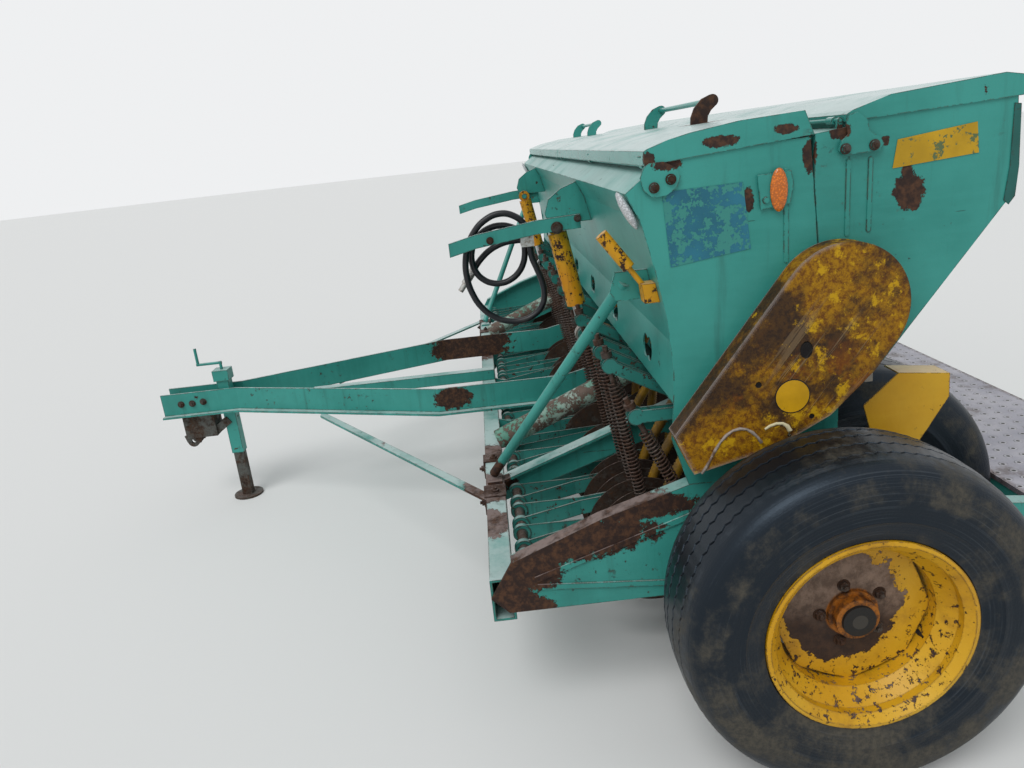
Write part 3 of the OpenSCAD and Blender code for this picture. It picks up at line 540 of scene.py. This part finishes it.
# Seed box and fertilizer box: bent sheet with separate end sheets, cleaner
# than the frame, with flakes of rust on the end and stains that run down
# from the lid's hinges.
box_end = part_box("seed_lid_left")[1].x - 0.003
box_paint = old_paint(
    "box_paint", teal, teal_faded, chips=0.48, edges=0.6, chalk_and_sheen=0.7, dirt=0.42, gloss=0.36, scratches=0.62,
    spots=((spot_at(box_end, 0.196, 1.198), 0.034), (spot_at(box_end, 0.188, 1.240), 0.015, (1, 1.3, 0.7)),
           (spot_at(box_end, 0.207, 1.170), 0.012), (spot_at(box_end, -0.300, 1.302), 0.014, (1, 0.4, 1)),
           (spot_at(box_end, 0.050, 1.330), 0.016, (1, 0.7, 1)), (spot_at(box_end, 0.140, 1.302), 0.010),
           (spot_at(box_end, -0.135, 1.215), 0.012, (1, 1, 0.5)),
           (spot_at(box_end, -0.010, 1.290), 0.014, (1, 1, 0.4))))
dress(box_paint, "seed_box", "fertilizer_box")

# The fertilizer box's end sheet has a flange bent back along its rear edge,
# painted dark teal as the shadow it lies in, with a rusty seam before it.
both_sides = ((1, "left"), (-1, "right"))


def end_plate(bm, outline, side, off, thick):
    """A flat plate that stands off a box's end; its corners are [y, z] in mm from the outer axle."""
    outer = side * (box_end + off + thick / 2) + thick / 2
    corners = [bm.verts.new(spot_at(outer, y / 1000, z / 1000)) for y, z in outline]
    grown = bmesh.ops.extrude_face_region(bm, geom=[bm.faces.new(corners)])
    inner = [v for v in grown["geom"] if isinstance(v, bmesh.types.BMVert)]
    bmesh.ops.translate(bm, vec=(-thick, 0, 0), verts=inner)


# The flange's green is painted far darker as the shadow it lies in.
flange_painted_shade = old_paint("flange_painted_shade", shade(teal, 0.30), shade(teal_faded, 0.42), chips=0.7, edges=0.8,
                         dirt=0.6)
flange_outline = ((398, 1348), (412, 1346), (418, 1226), (415, 1166), (403, 1150), (392, 1160), (399, 1226))
for side, name in both_sides:
    bm = bmesh.new()
    end_plate(bm, flange_outline, side, 0.0, 0.0010)
    fitted("rear_flange_" + name, bm, flange_painted_shade, "root")


# Stickers on the boxes' ends: plain film, blue in front and yellow behind,
# glued on and worn away in scraps. Both are blank.
def worn_film(name, colour, ground, share=0.4, roughness=0.4):
    """A coloured film with the ground showing where it has worn off."""
    f = Finish(name, roughness=roughness)
    gone = f.over(f.grain(38.0, 6, 0.72), 0.72 - 0.25 * share, 0.75 - 0.25 * share)
    tone = f.over(f.grain(9.0, 4, 0.6), 0.3, 0.7)
    f.colour(f.mix(gone, f.mix(tone, colour, shade(colour, 0.72)), ground))
    f.bump(f.times(gone, -1.0), 0.0003)
    return f.material


film_thick = 0.0006
blue_outline = ((-310, 1249), (-146, 1252), (-131, 1118), (-298, 1097))
yellow_outline = ((158, 1247), (166, 1302), (326, 1320), (333, 1260))
blue_film = worn_film("blue_film", (0.022, 0.165, 0.240, 1), (0.040, 0.230, 0.200, 1), 0.95)
yellow_film = worn_film("yellow_film", (0.56, 0.33, 0.012, 1), (0.10, 0.14, 0.06, 1), 0.55)
for side, name, outline, film, slot in (
        (1, "blue_sticker", blue_outline, blue_film, "painted_green"),
        (-1, "blue_sticker_far", blue_outline, blue_film, "painted_green"),
        (1, "yellow_sticker", yellow_outline, yellow_film, "yellow_paint"),
        (-1, "yellow_sticker_far", yellow_outline, yellow_film, "yellow_paint")):
    bm = bmesh.new()
    end_plate(bm, outline, side, 0.0, film_thick)
    fitted(name, bm, film, "root")


# Reflectors: an amber oval in a bent bracket on each end and a white one on
# the front wall, moulded plastic with small cells behind the lens.
def reflector_lens(name, colour):
    f = Finish(name, roughness=0.12)
    f.shader.inputs["Coat Weight"].default_value = 0.6
    cells = f.node("TexVoronoi", Vector=f.place, Scale=260.0).outputs["Distance"]
    f.colour(f.mix(f.over(cells, 0.1, 0.7), colour, shade(colour, 0.55)))
    f.bump(cells, 0.0006)
    return f.material


def oval(bm, place, towards, half_sizes):
    turn = towards.to_track_quat("Z", "Y").to_matrix().to_4x4()
    made = bmesh.ops.create_uvsphere(bm, u_segments=28, v_segments=12, radius=1.0)
    size = Matrix.Diagonal(half_sizes + (1,))
    bmesh.ops.transform(bm, matrix=Matrix.Translation(place) @ turn @ size, verts=made["verts"])


amber = reflector_lens("amber_lens", (0.80, 0.19, 0.004, 1))
milk = reflector_lens("white_lens", (0.72, 0.74, 0.76, 1))
bracket_outline = ((-112, 1194), (-118, 1262), (-50, 1265), (-45, 1240), (-52, 1200))
down_wall = Vector((0.0, -0.894, -0.447))
for side, name in both_sides:
    outwards = Vector((side, 0, 0))
    bm = bmesh.new()
    end_plate(bm, bracket_outline, side, 0.003, 0.003)
    stub(bm, spot_at(side * box_end, -0.102, 1.212), outwards, 0.006, 0.010, 12)
    stub(bm, spot_at(side * box_end, -0.072, 1.232), outwards, 0.012, 0.008, 12)
    fitted("reflector_bracket_" + name, bm, box_paint, "root")
    bm = bmesh.new()
    oval(bm, spot_at(side * (box_end + 0.009), -0.076, 1.230), outwards, (0.018, 0.043, 0.008))
    fitted("amber_reflector_" + name, bm, amber, "root")
    bm = bmesh.new()
    oval(bm, spot_at(side * 1.620, -0.372, 1.220) + down_wall * 0.006, down_wall, (0.018, 0.044, 0.010))
    fitted("white_reflector_" + name, bm, milk, "root")

# Hinge bolts: two in each of the plates that carry the lids' hinges on the
# boxes' ends, small and rusted.
hinge_face = box_end + 0.009
bm = bmesh.new()
for side in (1, -1):
    for y, z in ((-0.327, 1.260), (-0.293, 1.273), (0.057, 1.295), (0.115, 1.297)):
        bolt(bm, spot_at(side * hinge_face, y, z), Vector((side, 0, 0)), 0.0075, 0.005, 0.003)
fitted("hinge_bolts", bm, rusty_bolt, "root")

# Lids: two over each box, chalked where rain and sun reach them and painted
# almost white on top as a sheen from the sky, with the green paint still whole
# on their skirts. The near handle's nearer leg has rusted.
rusty_leg = spot_at(1.201, -0.10, 1.40)
lid_paint = old_paint(
    "lid_paint", teal, teal_faded, chips=0.62, edges=0.75, chalk_and_sheen=1.0, dirt=0.30, gloss=0.26,
    streaks=(9, 1, 9),
    spots=((rusty_leg, 0.060), (spot_at(box_end, -0.190, 1.335), 0.012, (1, 0.3, 1)),
           (spot_at(box_end, -0.060, 1.345), 0.010, (1, 0.4, 1)), (spot_at(box_end, -0.335, 1.315), 0.014)))
dress(lid_paint, "seed_lid_left", "seed_lid_right", "fertilizer_lid_left", "fertilizer_lid_right")


# Meters under the boxes: cast housings, one to a row, bolted to the floor
# of each box and dusty with fertilizer.
def cast_metal(name):
    f = Finish(name, roughness=0.62, metallic=0.35)
    dust = f.over(f.grain(12.0, 6, 0.65), 0.35, 0.7)
    f.colour(f.mix(dust, (0.24, 0.24, 0.23, 1), (0.36, 0.31, 0.24, 1)))
    f.bump(f.grain(160.0, 4, 0.6), 0.0004)
    return f.material


dress(cast_metal("cast_housing"), "seed_meters", "fertilizer_meters")


# Seed tubes: ribbed yellow plastic, gone brown with dust. They hang from
# the meters into the coulters' boots.
def ribbed_plastic(name):
    f = Finish(name, roughness=0.5)
    dust = f.over(f.grain(9.0, 6, 0.65), 0.30, 0.62)
    f.colour(f.mix(f.times(dust, 0.85), (0.40, 0.21, 0.010, 1), (0.075, 0.048, 0.020, 1)))
    f.bump(f.grain(60.0, 4, 0.6), 0.0005)
    return f.material


row_pitch = 0.132
row_count = 24
inner_wheel_x = 1.300
inner_wheel_half = 0.126


def row_x(i):
    return (i - (row_count - 1) / 2) * row_pitch


def rank(i):
    """0 for the front rank and 1 for the rear one; rows ahead of an inner wheel are all in front."""
    beyond = abs(row_x(i)) - inner_wheel_x
    if -inner_wheel_half - 0.060 < beyond < inner_wheel_half + 0.040:
        return 0
    return (i + 1 if i < row_count / 2 else i) % 2


def fill_rank(bm, one, wanted):
    """Puts a copy of one row's shape into each row of a rank."""
    loose = bpy.data.meshes.new("one_row")
    one.to_mesh(loose)
    one.free()
    for i in range(row_count):
        if rank(i) == wanted:
            loose.transform(Matrix.Translation((row_x(i), 0, 0)))
            bm.from_mesh(loose)
            loose.transform(Matrix.Translation((-row_x(i), 0, 0)))
    bpy.data.meshes.remove(loose)


def swept(bm, line, radii, sides):
    """A tube along a line of places, with a radius at each of them."""
    ring = bmesh.ops.create_circle(bm, segments=sides, radius=1.0)["verts"]
    edges = list({e for v in ring for e in v.link_edges})
    stand = Matrix.Identity(4)
    for i, place in enumerate(line):
        along = (line[min(i + 1, len(line) - 1)] - line[max(i - 1, 0)]).normalized()
        turn = along.to_track_quat("Z", "X").to_matrix().to_4x4()
        put = Matrix.Translation(place) @ turn @ Matrix.Diagonal((radii[i], radii[i], radii[i], 1))
        if i > 0:
            grown = bmesh.ops.extrude_edge_only(bm, edges=edges)["geom"]
            ring = [v for v in grown if isinstance(v, bmesh.types.BMVert)]
            edges = [e for e in grown if isinstance(e, bmesh.types.BMEdge)]
        bmesh.ops.transform(bm, matrix=put @ stand.inverted(), verts=ring)
        stand = put
    bmesh.ops.holes_fill(bm, edges=[e for e in bm.edges if e.is_boundary], sides=0)


rod_pins = ((-0.328, 0.400), (-0.213, 0.400))
tube_top = (-0.120, 0.7497)
tube_foot_z = 0.4195
foot_behind_pin = 0.042
tube_rings = 85
ridge_radius = 0.0158
hollow_radius = 0.0134
bm = bmesh.new()
for wanted in (0, 1):
    reach_y = rod_pins[wanted][0] + foot_behind_pin - tube_top[0]
    line = []
    for k in range(tube_rings):
        t = k / (tube_rings - 1)
        ease = t * t * (3 - 2 * t)
        line.append(spot_at(0, tube_top[0] + reach_y * (0.55 * ease + 0.45 * t),
                            tube_top[1] + (tube_foot_z - tube_top[1]) * t))
    one = bmesh.new()
    swept(one, line, [ridge_radius if k % 2 else hollow_radius for k in range(tube_rings)], 10)
    fill_rank(bm, one, wanted)
tubes = fitted("ribbed_tubes", bm, ribbed_plastic("tube_plastic"), None, crease=80)
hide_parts("seed_tubes")
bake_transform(tubes)

# Chain guard: pressed sheet over the drive chains, its yellow paint mostly
# gone, so that brown rust shows in soft clouds with yellow left between.
# It has a slot and two holes, painted near black as the shade seen through
# them, and the pressing left folds round the slot.
guard_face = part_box("chain_guard_left")[1].x
guard_holes = ((-0.135, 0.838, 0.0065), (-0.021, 0.755, 0.0055), (-0.034, 0.903, 0.013, (1, 1.0, 0.72)))


def guard_finish(name):
    f = Finish(name, roughness=0.55, mirror=0.2)
    front = f.under(f.axis("Y"), axle_y - 0.19, axle_y + 0.06)
    browner = f.times(front, f.over(f.axis("Z"), 0.72, 0.80), 0.11)
    cloud = f.over(f.plus(f.grain(6.0, 8, 0.68), browner), 0.46, 0.62)
    speck = f.over(f.grain(80.0, 6, 0.8), 0.40, 0.62)
    ochre = f.mix(speck, (0.340, 0.165, 0.004, 1), (0.130, 0.045, 0.005, 1))
    brown = f.mix(speck, (0.062, 0.030, 0.010, 1), (0.028, 0.015, 0.009, 1))
    colour = f.mix(cloud, ochre, brown)
    left_over = f.math("SUBTRACT", f.grain(19.0, 8, 0.74, shift=(0.4, 2.2, 1.1)), browner)
    colour = f.mix(f.over(left_over, 0.53, 0.60), colour, (0.50, 0.285, 0.006, 1))
    orange = f.over(f.grain(8.0, 6, 0.7, shift=(4.1, 0.2, 3.3)), 0.49, 0.62)
    low = f.under(f.axis("Z"), 0.76, 1.00)
    colour = f.mix(f.times(orange, low, 0.8), colour, (0.225, 0.060, 0.005, 1))

    pressed = f.node("Mapping", {"vector_type": "TEXTURE"}, Vector=f.place, Scale=(1.0, 0.30, 0.016),
                     Rotation=(math.radians(52), 0, 0))
    by_slot = near(f, spot_at(guard_face + 0.001, 0.0, 0.880), 0.10, 0.07)
    folds = f.times(f.over(f.noise(pressed, 1.0, 3.0, 0.6), 0.54, 0.62), by_slot)
    colour = f.mix(f.times(folds, 0.7), colour, (0.205, 0.140, 0.075, 1))

    edge = worn_edges(f, 0.009)
    front_edge = f.times(edge, f.under(f.axis("Y"), axle_y + 0.01, axle_y + 0.05))
    rubbed = f.times(front_edge, f.over(f.grain(14.0, 4, 0.6), 0.25, 0.45))
    colour = f.mix(f.times(edge, 0.8), colour, (0.045, 0.028, 0.020, 1))
    colour = f.mix(rubbed, colour, (0.300, 0.255, 0.235, 1))

    # The slot and holes are painted near black as the shade seen through them, with a dent bumped in.
    hole_shade = f.most(*[near(f, spot_at(guard_face + 0.001, y, z), radius, 0.001, *squeeze)
                    for y, z, radius, *squeeze in guard_holes])
    f.colour(f.mix(hole_shade, colour, (0.006, 0.005, 0.005, 1)))
    f.bump(f.times(hole_shade, -1.0), 0.004)
    f.bump(folds, 0.0016)
    f.bump(f.grain(110.0, 6, 0.7), 0.0010)
    f.bump(cloud, -0.0006)
    return f.material


dress(guard_finish("rusty_yellow"), "chain_guard_left", "chain_guard_right")

# On each guard: a blank round sticker with a dark rim, a weld that runs up
# from its foot in a bow, and a hook-shaped scrap of cream paint.
disc_film = worn_film("disc_film", (0.66, 0.36, 0.008, 1), (0.16, 0.09, 0.02, 1), 0.25, 0.35)
disc_rim = worn_film("disc_rim", (0.02, 0.015, 0.012, 1), (0.16, 0.09, 0.02, 1), 0.3)
weld_seam = bare_steel("weld_seam", (0.34, 0.29, 0.25, 1), (0.16, 0.10, 0.07, 1), 0.4, 0.2)
cream_patch = worn_film("cream_patch", (0.62, 0.56, 0.36, 1), (0.30, 0.17, 0.02, 1), 0.5, 0.5)
weld_run = (
    (-0.261, 0.651), (-0.250, 0.666), (-0.240, 0.684), (-0.230, 0.702), (-0.219, 0.719), (-0.206, 0.733),
    (-0.192, 0.742), (-0.177, 0.745), (-0.162, 0.742), (-0.149, 0.733), (-0.138, 0.721), (-0.130, 0.708))
weld_radii = [0.0028 + 0.0010 * (i % 2) for i in range(len(weld_run))]
hook_run = (
    (-0.122, 0.737), (-0.112, 0.743), (-0.098, 0.747), (-0.084, 0.746), (-0.074, 0.739), (-0.068, 0.728),
    (-0.070, 0.718))
hook_radii = (0.0035, 0.0040, 0.0040, 0.0040, 0.0052, 0.0060, 0.0052)
for side, name in both_sides:
    outwards = Vector((side, 0, 0))
    disc_middle = spot_at(side * guard_face, -0.063, 0.805)
    bm = bmesh.new()
    stub(bm, disc_middle, outwards, 0.038, 0.0006, 48)
    fitted("round_sticker_rim_" + name, bm, disc_rim, "root")
    bm = bmesh.new()
    stub(bm, disc_middle, outwards, 0.0355, 0.0010, 48)
    fitted("round_sticker_" + name, bm, disc_film, "root")
    bm = bmesh.new()
    swept(bm, [spot_at(side * guard_face, y, z) for y, z in weld_run], weld_radii, 8)
    fitted("guard_weld_" + name, bm, weld_seam, "root", crease=60)
    bm = bmesh.new()
    swept(bm, [spot_at(side * (guard_face - 0.0015), y, z) for y, z in hook_run], hook_radii, 8)
    fitted("cream_patch_" + name, bm, cream_patch, "root", crease=60)

# Lower guards, cylinder barrels and the rate spindle: bent sheet, drawn tube
# and turned steel in yellow paint, chipped down to rust at the edges and
# worst on the cylinders.
yellow = (0.560, 0.285, 0.006, 1)
yellow_faded = (0.630, 0.365, 0.020, 1)
yellow_paint = old_paint("yellow_paint", yellow, yellow_faded, chips=0.7, edges=0.8, chalk_and_sheen=0.55, dirt=0.35)
dress(yellow_paint, "lower_guard_left", "lower_guard_right")
cylinder_paint = old_paint("cylinder_paint", (0.580, 0.225, 0.005, 1), yellow, chips=1.75, edges=1.0,
                           chalk_and_sheen=0.3, dirt=0.6)
dress(cylinder_paint, "cylinder_barrels", "rate_spindle")


# Cylinder rods: hard chrome that has gone dull, with a thin film of rust
# drawn out along them. They slide in the barrels.
def dull_chrome(name):
    f = Finish(name, roughness=0.28, metallic=1.0)
    film = f.over(f.grain(30.0, 5, 0.7, stretch=(1, 1, 0.2)), 0.45, 0.7)
    f.colour(f.mix(film, (0.50, 0.51, 0.52, 1), (0.24, 0.20, 0.16, 1)))
    f.gloss(f.plus(f.times(film, 0.3), 0.25))
    return f.material


dress(dull_chrome("dull_chrome"), "cylinder_rods")

# Lift shaft with its forks and levers, and the coulter arms: flaking green
# with rust along every edge, painted darker and dirtier as the shade under the boxes. The discs are worn
# steel with dried soil.
# The darker green and heavy dirt stand in for the shade under the boxes.
arm_paint_shaded = old_paint("arm_paint_shaded", shade(teal, 0.55), shade(teal_faded, 0.8), chips=1.15, edges=1.0,
                      chalk_and_sheen=0.5, dirt=1.0, edge_width=0.006)
dress(arm_paint_shaded, "coulter_arms", "lift_shaft")
disc_steel = bare_steel("disc_steel", (0.085, 0.075, 0.065, 1), (0.050, 0.036, 0.027, 1), 0.85, 0.4)
dress(disc_steel, "coulter_discs")

# Springs and their rods: rusted spring steel. Each coil stands on its rod's
# collar and presses against the fork.
spring_rust = bare_steel("spring_rust", (0.090, 0.066, 0.055, 1), (0.075, 0.040, 0.026, 1), 0.6, 0.4, 0.45)
dress(spring_rust, "front_spring_rods", "rear_spring_rods")
fork_eyes = ((-0.400, 0.826), (-0.366, 0.735))
collar_height = 0.0523
fork_room = 0.045
wire = 0.0025
coil_radius = 0.0146
coil_pitch = 0.0105
steps_a_turn = 12
for wanted, name, joint, body, keep in (
        (0, "front_springs", "front_rods_swing", "front_spring_rods", 0.81),
        (1, "rear_springs", "rear_rods_swing", "rear_spring_rods", 0.92)):
    pin = spot_at(0, *rod_pins[wanted])
    along = spot_at(0, *fork_eyes[wanted]) - pin
    height = along.length - fork_room - collar_height
    along.normalize()
    foot = pin + along * collar_height
    turns = round(height / coil_pitch)
    one = bmesh.new()
    wire_end = Matrix.Translation((coil_radius, 0, wire)) @ Matrix.Rotation(math.pi / 2, 4, "X")
    bmesh.ops.create_circle(one, segments=5, radius=wire, matrix=wire_end)
    bmesh.ops.spin(one, geom=one.verts[:] + one.edges[:], cent=(0, 0, 0), axis=(0, 0, 1),
                   dvec=(0, 0, (height - 2 * wire) / (turns * steps_a_turn)),
                   angle=2 * math.pi * turns, steps=turns * steps_a_turn)
    bmesh.ops.holes_fill(one, edges=[e for e in one.edges if e.is_boundary], sides=0)
    lean = math.atan2(along.z, along.y) - math.pi / 2
    stood = Matrix.Translation(foot) @ Matrix.Rotation(lean, 4, "X")
    bmesh.ops.transform(one, matrix=stood, verts=one.verts)
    bm = bmesh.new()
    fill_rank(bm, one, wanted)
    coils = fitted("coil_" + name, bm, spring_rust, body, crease=80)
    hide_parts(name)
    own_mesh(coils)


# Rims: pressed steel in yellow paint, chipped in the well. The discs have
# lost theirs round the hub, where greasy brown rust shows, painted grey above
# as a sheen from the sky; the hub's housing is orange with rust and its cap is black.
def wheel_middle(tyre):
    low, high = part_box(tyre)
    return (low + high) / 2


def from_axle(f, hub):
    """How far a place on a wheel lies from its axle."""
    return length_of(f, f.node("Mapping", Vector=f.place, Scale=(0, 1, 1), Location=(0, -hub.y, -hub.z)))


def rim_finish(name, hub):
    """Rim paint with a bare patch of about 130 mm round the hub's place."""
    f = Finish(name, roughness=0.45)
    off_axle = from_axle(f, hub)
    tone = f.over(f.grain(3.0, 5, 0.55), 0.35, 0.68)
    runs = f.over(f.grain(9.0, 7, 0.66), 0.50, 0.74)
    paint = f.mix(f.times(runs, 0.55), f.mix(tone, yellow, yellow_faded), (0.215, 0.085, 0.008, 1))

    aside = f.times(f.math("SUBTRACT", f.axis("Y"), hub.y), 0.16)
    above = f.times(f.math("SUBTRACT", f.axis("Z"), hub.z), -0.12)
    wander = f.times(f.math("SUBTRACT", f.grain(9.0, 8, 0.70), 0.5), 0.15)
    patch = f.under(f.plus(f.plus(off_axle, wander), f.plus(aside, above)), 0.126, 0.128)

    well = f.times(f.over(off_axle, 0.140, 0.152), f.under(off_axle, 0.190, 0.200))
    low = f.under(f.axis("Z"), hub.z - 0.10, hub.z + 0.10)
    specks = f.plus(f.grain(62.0, 7, 0.74), f.times(f.plus(well, low), 0.035))
    flakes = f.over(f.grain(15.0, 7, 0.70, shift=(1.3, 4.1, 0.2)), 0.655, 0.665)
    worn = f.times(worn_edges(f, 0.006), f.over(f.grain(30.0, 6, 0.7), 0.42, 0.48))
    chips = f.most(f.over(specks, 0.630, 0.645), flakes, worn)

    # Above the hub the bare rust is painted grey as a sheen from the sky, brown below.
    ragged_height = f.plus(f.axis("Z"), f.times(f.grain(7.0, 6, 0.65), 0.14))
    mottled = f.over(f.grain(34.0, 8, 0.76), 0.36, 0.64)
    rust_grey_sheen = f.mix(mottled, (0.230, 0.160, 0.120, 1), (0.105, 0.068, 0.048, 1))
    lower = f.mix(mottled, (0.050, 0.026, 0.016, 1), (0.024, 0.013, 0.010, 1))
    greasy = f.mix(f.over(ragged_height, hub.z + 0.03, hub.z + 0.12), lower, rust_grey_sheen)
    crumbs = f.over(f.grain(50.0, 6, 0.7), 0.38, 0.62)
    orange = f.mix(crumbs, (0.330, 0.110, 0.010, 1), (0.060, 0.024, 0.010, 1))
    greasy = f.mix(f.under(off_axle, 0.052, 0.058), greasy, orange)
    greasy = f.mix(f.under(off_axle, 0.034, 0.036), greasy, (0.012, 0.011, 0.010, 1))
    greasy = f.mix(f.under(off_axle, 0.015, 0.017), greasy, (0.040, 0.036, 0.030, 1))

    f.colour(f.mix(patch, f.mix(chips, paint, rust_colour(f, 60.0)), greasy))
    bare = f.most(patch, chips)
    f.gloss(f.plus(f.times(bare, 0.2), 0.40))
    f.bump(f.times(bare, -1.0), 0.0008)
    f.bump(f.grain(120.0, 4, 0.6), 0.0004)
    return f.material


dress(rim_finish("rim_outer_paint", wheel_middle("tyre_outer_left")), "rim_outer_left", "rim_outer_right")
dress(rim_finish("rim_inner_paint", wheel_middle("tyre_inner_left")), "rim_inner_left", "rim_inner_right")

# Tyres: worn implement tyres of black rubber with four zigzag grooves round
# the tread, a rounded shoulder, and moulded rings on the sidewall.
groove_middles = (-0.062, -0.021, 0.021, 0.062)
groove_half = 0.0026
groove_depth = 0.008
tread_radius = 0.376
tread_half = 0.085
tread_crown = 0.0068
zigzags = 92
zigzag_swing = 0.0034
zigzag_reach = 0.092
groove_floor = 0.3595
wall = [
    (-0.0965, 0.1975), (-0.1080, 0.2125), (-0.1125, 0.2160), (-0.1128, 0.2210), (-0.1150, 0.2270),
    (-0.1185, 0.2370), (-0.1218, 0.2480), (-0.1236, 0.2560), (-0.1246, 0.2570), (-0.1248, 0.2600),
    (-0.1244, 0.2612), (-0.1252, 0.2760), (-0.1258, 0.2940), (-0.1254, 0.3080), (-0.1240, 0.3200),
    (-0.1218, 0.3300), (-0.1188, 0.3400), (-0.1140, 0.3500), (-0.1075, 0.3580), (-0.0985, 0.3640),
    (-0.0900, 0.3672)]


def other_half(half):
    return [(-x, other) for x, other in reversed(half)]


def tyre_section():
    """The closed line of the tyre's section, as x from its middle and radius."""
    flank = [(-groove_half - 0.0010, 0.0), (-groove_half, 0.0015), (-groove_half + 0.0008, groove_depth)]
    tread = []
    for middle in groove_middles:
        top = tread_radius - tread_crown * (abs(middle) / tread_half) ** 2
        tread += [(middle + x, top - depth) for x, depth in flank + other_half(flank)]
    return wall + tread + other_half(wall)


def rubber(name, hub):
    """Black rubber with rings scuffed into its wall, dry mud low down and a damp sheen."""
    f = Finish(name, roughness=0.42, mirror=0.40)
    f.shader.inputs["Specular Tint"].default_value = (0.62, 0.80, 1.0, 1)
    off_axle = from_axle(f, hub)
    rings = f.noise(f.node("CombineXYZ", X=f.times(off_axle, 150.0)), 1.0, 6.0, 0.75)
    scuff = f.times(f.over(rings, 0.50, 0.62), f.over(f.grain(5.0, 6, 0.68), 0.42, 0.60))
    shoulder = f.times(f.over(off_axle, 0.285, 0.300), f.under(off_axle, 0.335, 0.352))
    by_rim = f.under(off_axle, 0.215, 0.262)
    low = f.under(f.axis("Z"), 0.10, 0.52)
    muddier = f.plus(f.times(shoulder, 0.10), f.plus(f.times(low, 0.10), f.times(by_rim, 0.06)))
    mud = f.over(f.plus(f.grain(7.0, 8, 0.72), muddier), 0.52, 0.74)
    fine = f.over(f.grain(90.0, 6, 0.75), 0.30, 0.70)
    colour = f.mix(f.times(scuff, 0.8), (0.0030, 0.0040, 0.0060, 1), (0.046, 0.052, 0.060, 1))
    f.colour(f.mix(f.times(mud, f.plus(f.times(fine, 0.5), 0.35)), colour, (0.088, 0.074, 0.050, 1)))
    f.gloss(f.plus(f.times(mud, 0.35), f.plus(f.times(scuff, 0.15), 0.36)))
    f.bump(rings, 0.0008)
    f.bump(f.grain(180.0, 4, 0.6), 0.0004)
    return f.material


tyres = ("tyre_outer_left", "tyre_outer_right", "tyre_inner_left", "tyre_inner_right")
for node in tyres:
    middle = wheel_middle(node)
    bm = bmesh.new()
    line = [bm.verts.new((x, 0, r)) for x, r in tyre_section()]
    for a, b in zip(line, line[1:] + line[:1]):
        bm.edges.new((a, b))
    bmesh.ops.spin(bm, geom=bm.verts[:] + bm.edges[:], cent=(0, 0, 0), axis=(1, 0, 0), dvec=(0, 0, 0),
                   angle=2 * math.pi, steps=zigzags * 4, use_merge=True)
    for v in bm.verts:
        on_tread = math.hypot(v.co.y, v.co.z) > groove_floor
        share = 1 - abs(v.co.x) / zigzag_reach
        if on_tread and share > 0:
            turn = math.atan2(v.co.y, v.co.z) / (2 * math.pi) * zigzags
            swing = 1 - 4 * abs(turn - math.floor(turn) - 0.5)
            v.co.x += zigzag_swing * swing * min(1.0, share * 3)
    bmesh.ops.translate(bm, vec=middle, verts=bm.verts)
    body = node.replace("tyre", "wheel")
    made = fitted("treaded_" + node, bm, rubber("rubber_" + node, middle), body, crease=40)
    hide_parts(node)

# Wheel nuts and valves: five rusty nuts on each disc, on studs in the hub,
# and a rubber valve that stands out of the rim's well.
disc_face = 0.0215
nut_circle = 0.068
valve_circle = 0.166


def round_axle(radius, degrees):
    turn = math.radians(degrees)
    return Vector((0, radius * math.cos(turn), radius * math.sin(turn)))


for node in tyres:
    body = node.replace("tyre", "wheel")
    outwards = Vector((1 if node.endswith("left") else -1, 0, 0))
    face = wheel_middle(node) + outwards * disc_face
    bm = bmesh.new()
    for degrees in (34, 106, 178, 250, 322):
        bolt(bm, face + round_axle(nut_circle, degrees), outwards, 0.0095, 0.008, 0.006)
    fitted(body + "_nuts", bm, rusty_bolt, body)
    bm = bmesh.new()
    line = [face + round_axle(valve_circle, -26) + outwards * t for t in (-0.006, 0.004, 0.012, 0.018)]
    swept(bm, line, (0.0072, 0.0068, 0.0050, 0.0050), 12)
    fitted(body + "_valve", bm, black_rubber, body, crease=60)

# Footboard: grey sheet with raised round holes for grip, in rows 45 mm
# apart, the holes painted near black as the shade under the board, brown with trodden soil in places and
# rusty at its edges.
hole_pitch = 0.045


def grip_sheet(name):
    f = Finish(name, roughness=0.45, metallic=0.25)
    tone = f.over(f.grain(5.0, 6, 0.65), 0.35, 0.7)
    colour = f.mix(tone, (0.33, 0.32, 0.37, 1), (0.48, 0.46, 0.50, 1))
    trodden = f.over(f.grain(4.0, 7, 0.7, shift=(0.9, 2.7, 4.4)), 0.55, 0.66)
    colour = f.mix(f.times(trodden, 0.7), colour, (0.095, 0.065, 0.050, 1))
    across = f.math("PINGPONG", f.axis("X"), hole_pitch / 2)
    along = f.math("PINGPONG", f.axis("Y"), hole_pitch / 2)
    off_hole = f.math("SQRT", f.plus(f.math("POWER", across, 2.0), f.math("POWER", along, 2.0)))
    level = facing_up(f)
    raised = f.times(f.under(off_hole, 0.0085, 0.0125), level)
    # The holes are painted near black as the shade under the board, with a dent bumped in.
    hole_shade = f.times(f.under(off_hole, 0.0045, 0.0055), level)
    colour = f.mix(f.times(raised, 0.35), colour, (0.66, 0.65, 0.66, 1))
    colour = f.mix(hole_shade, colour, (0.035, 0.032, 0.030, 1))
    bare = f.times(worn_edges(f, 0.02), f.over(f.grain(30.0, 5, 0.7), 0.35, 0.5))
    f.colour(f.mix(bare, colour, rust_colour(f, 40.0)))
    f.bump(f.math("SUBTRACT", raised, f.times(hole_shade, 1.4)), 0.004)
    f.bump(f.grain(120.0, 4, 0.6), 0.0004)
    return f.material


dress(grip_sheet("grip_sheet"), "footboard")
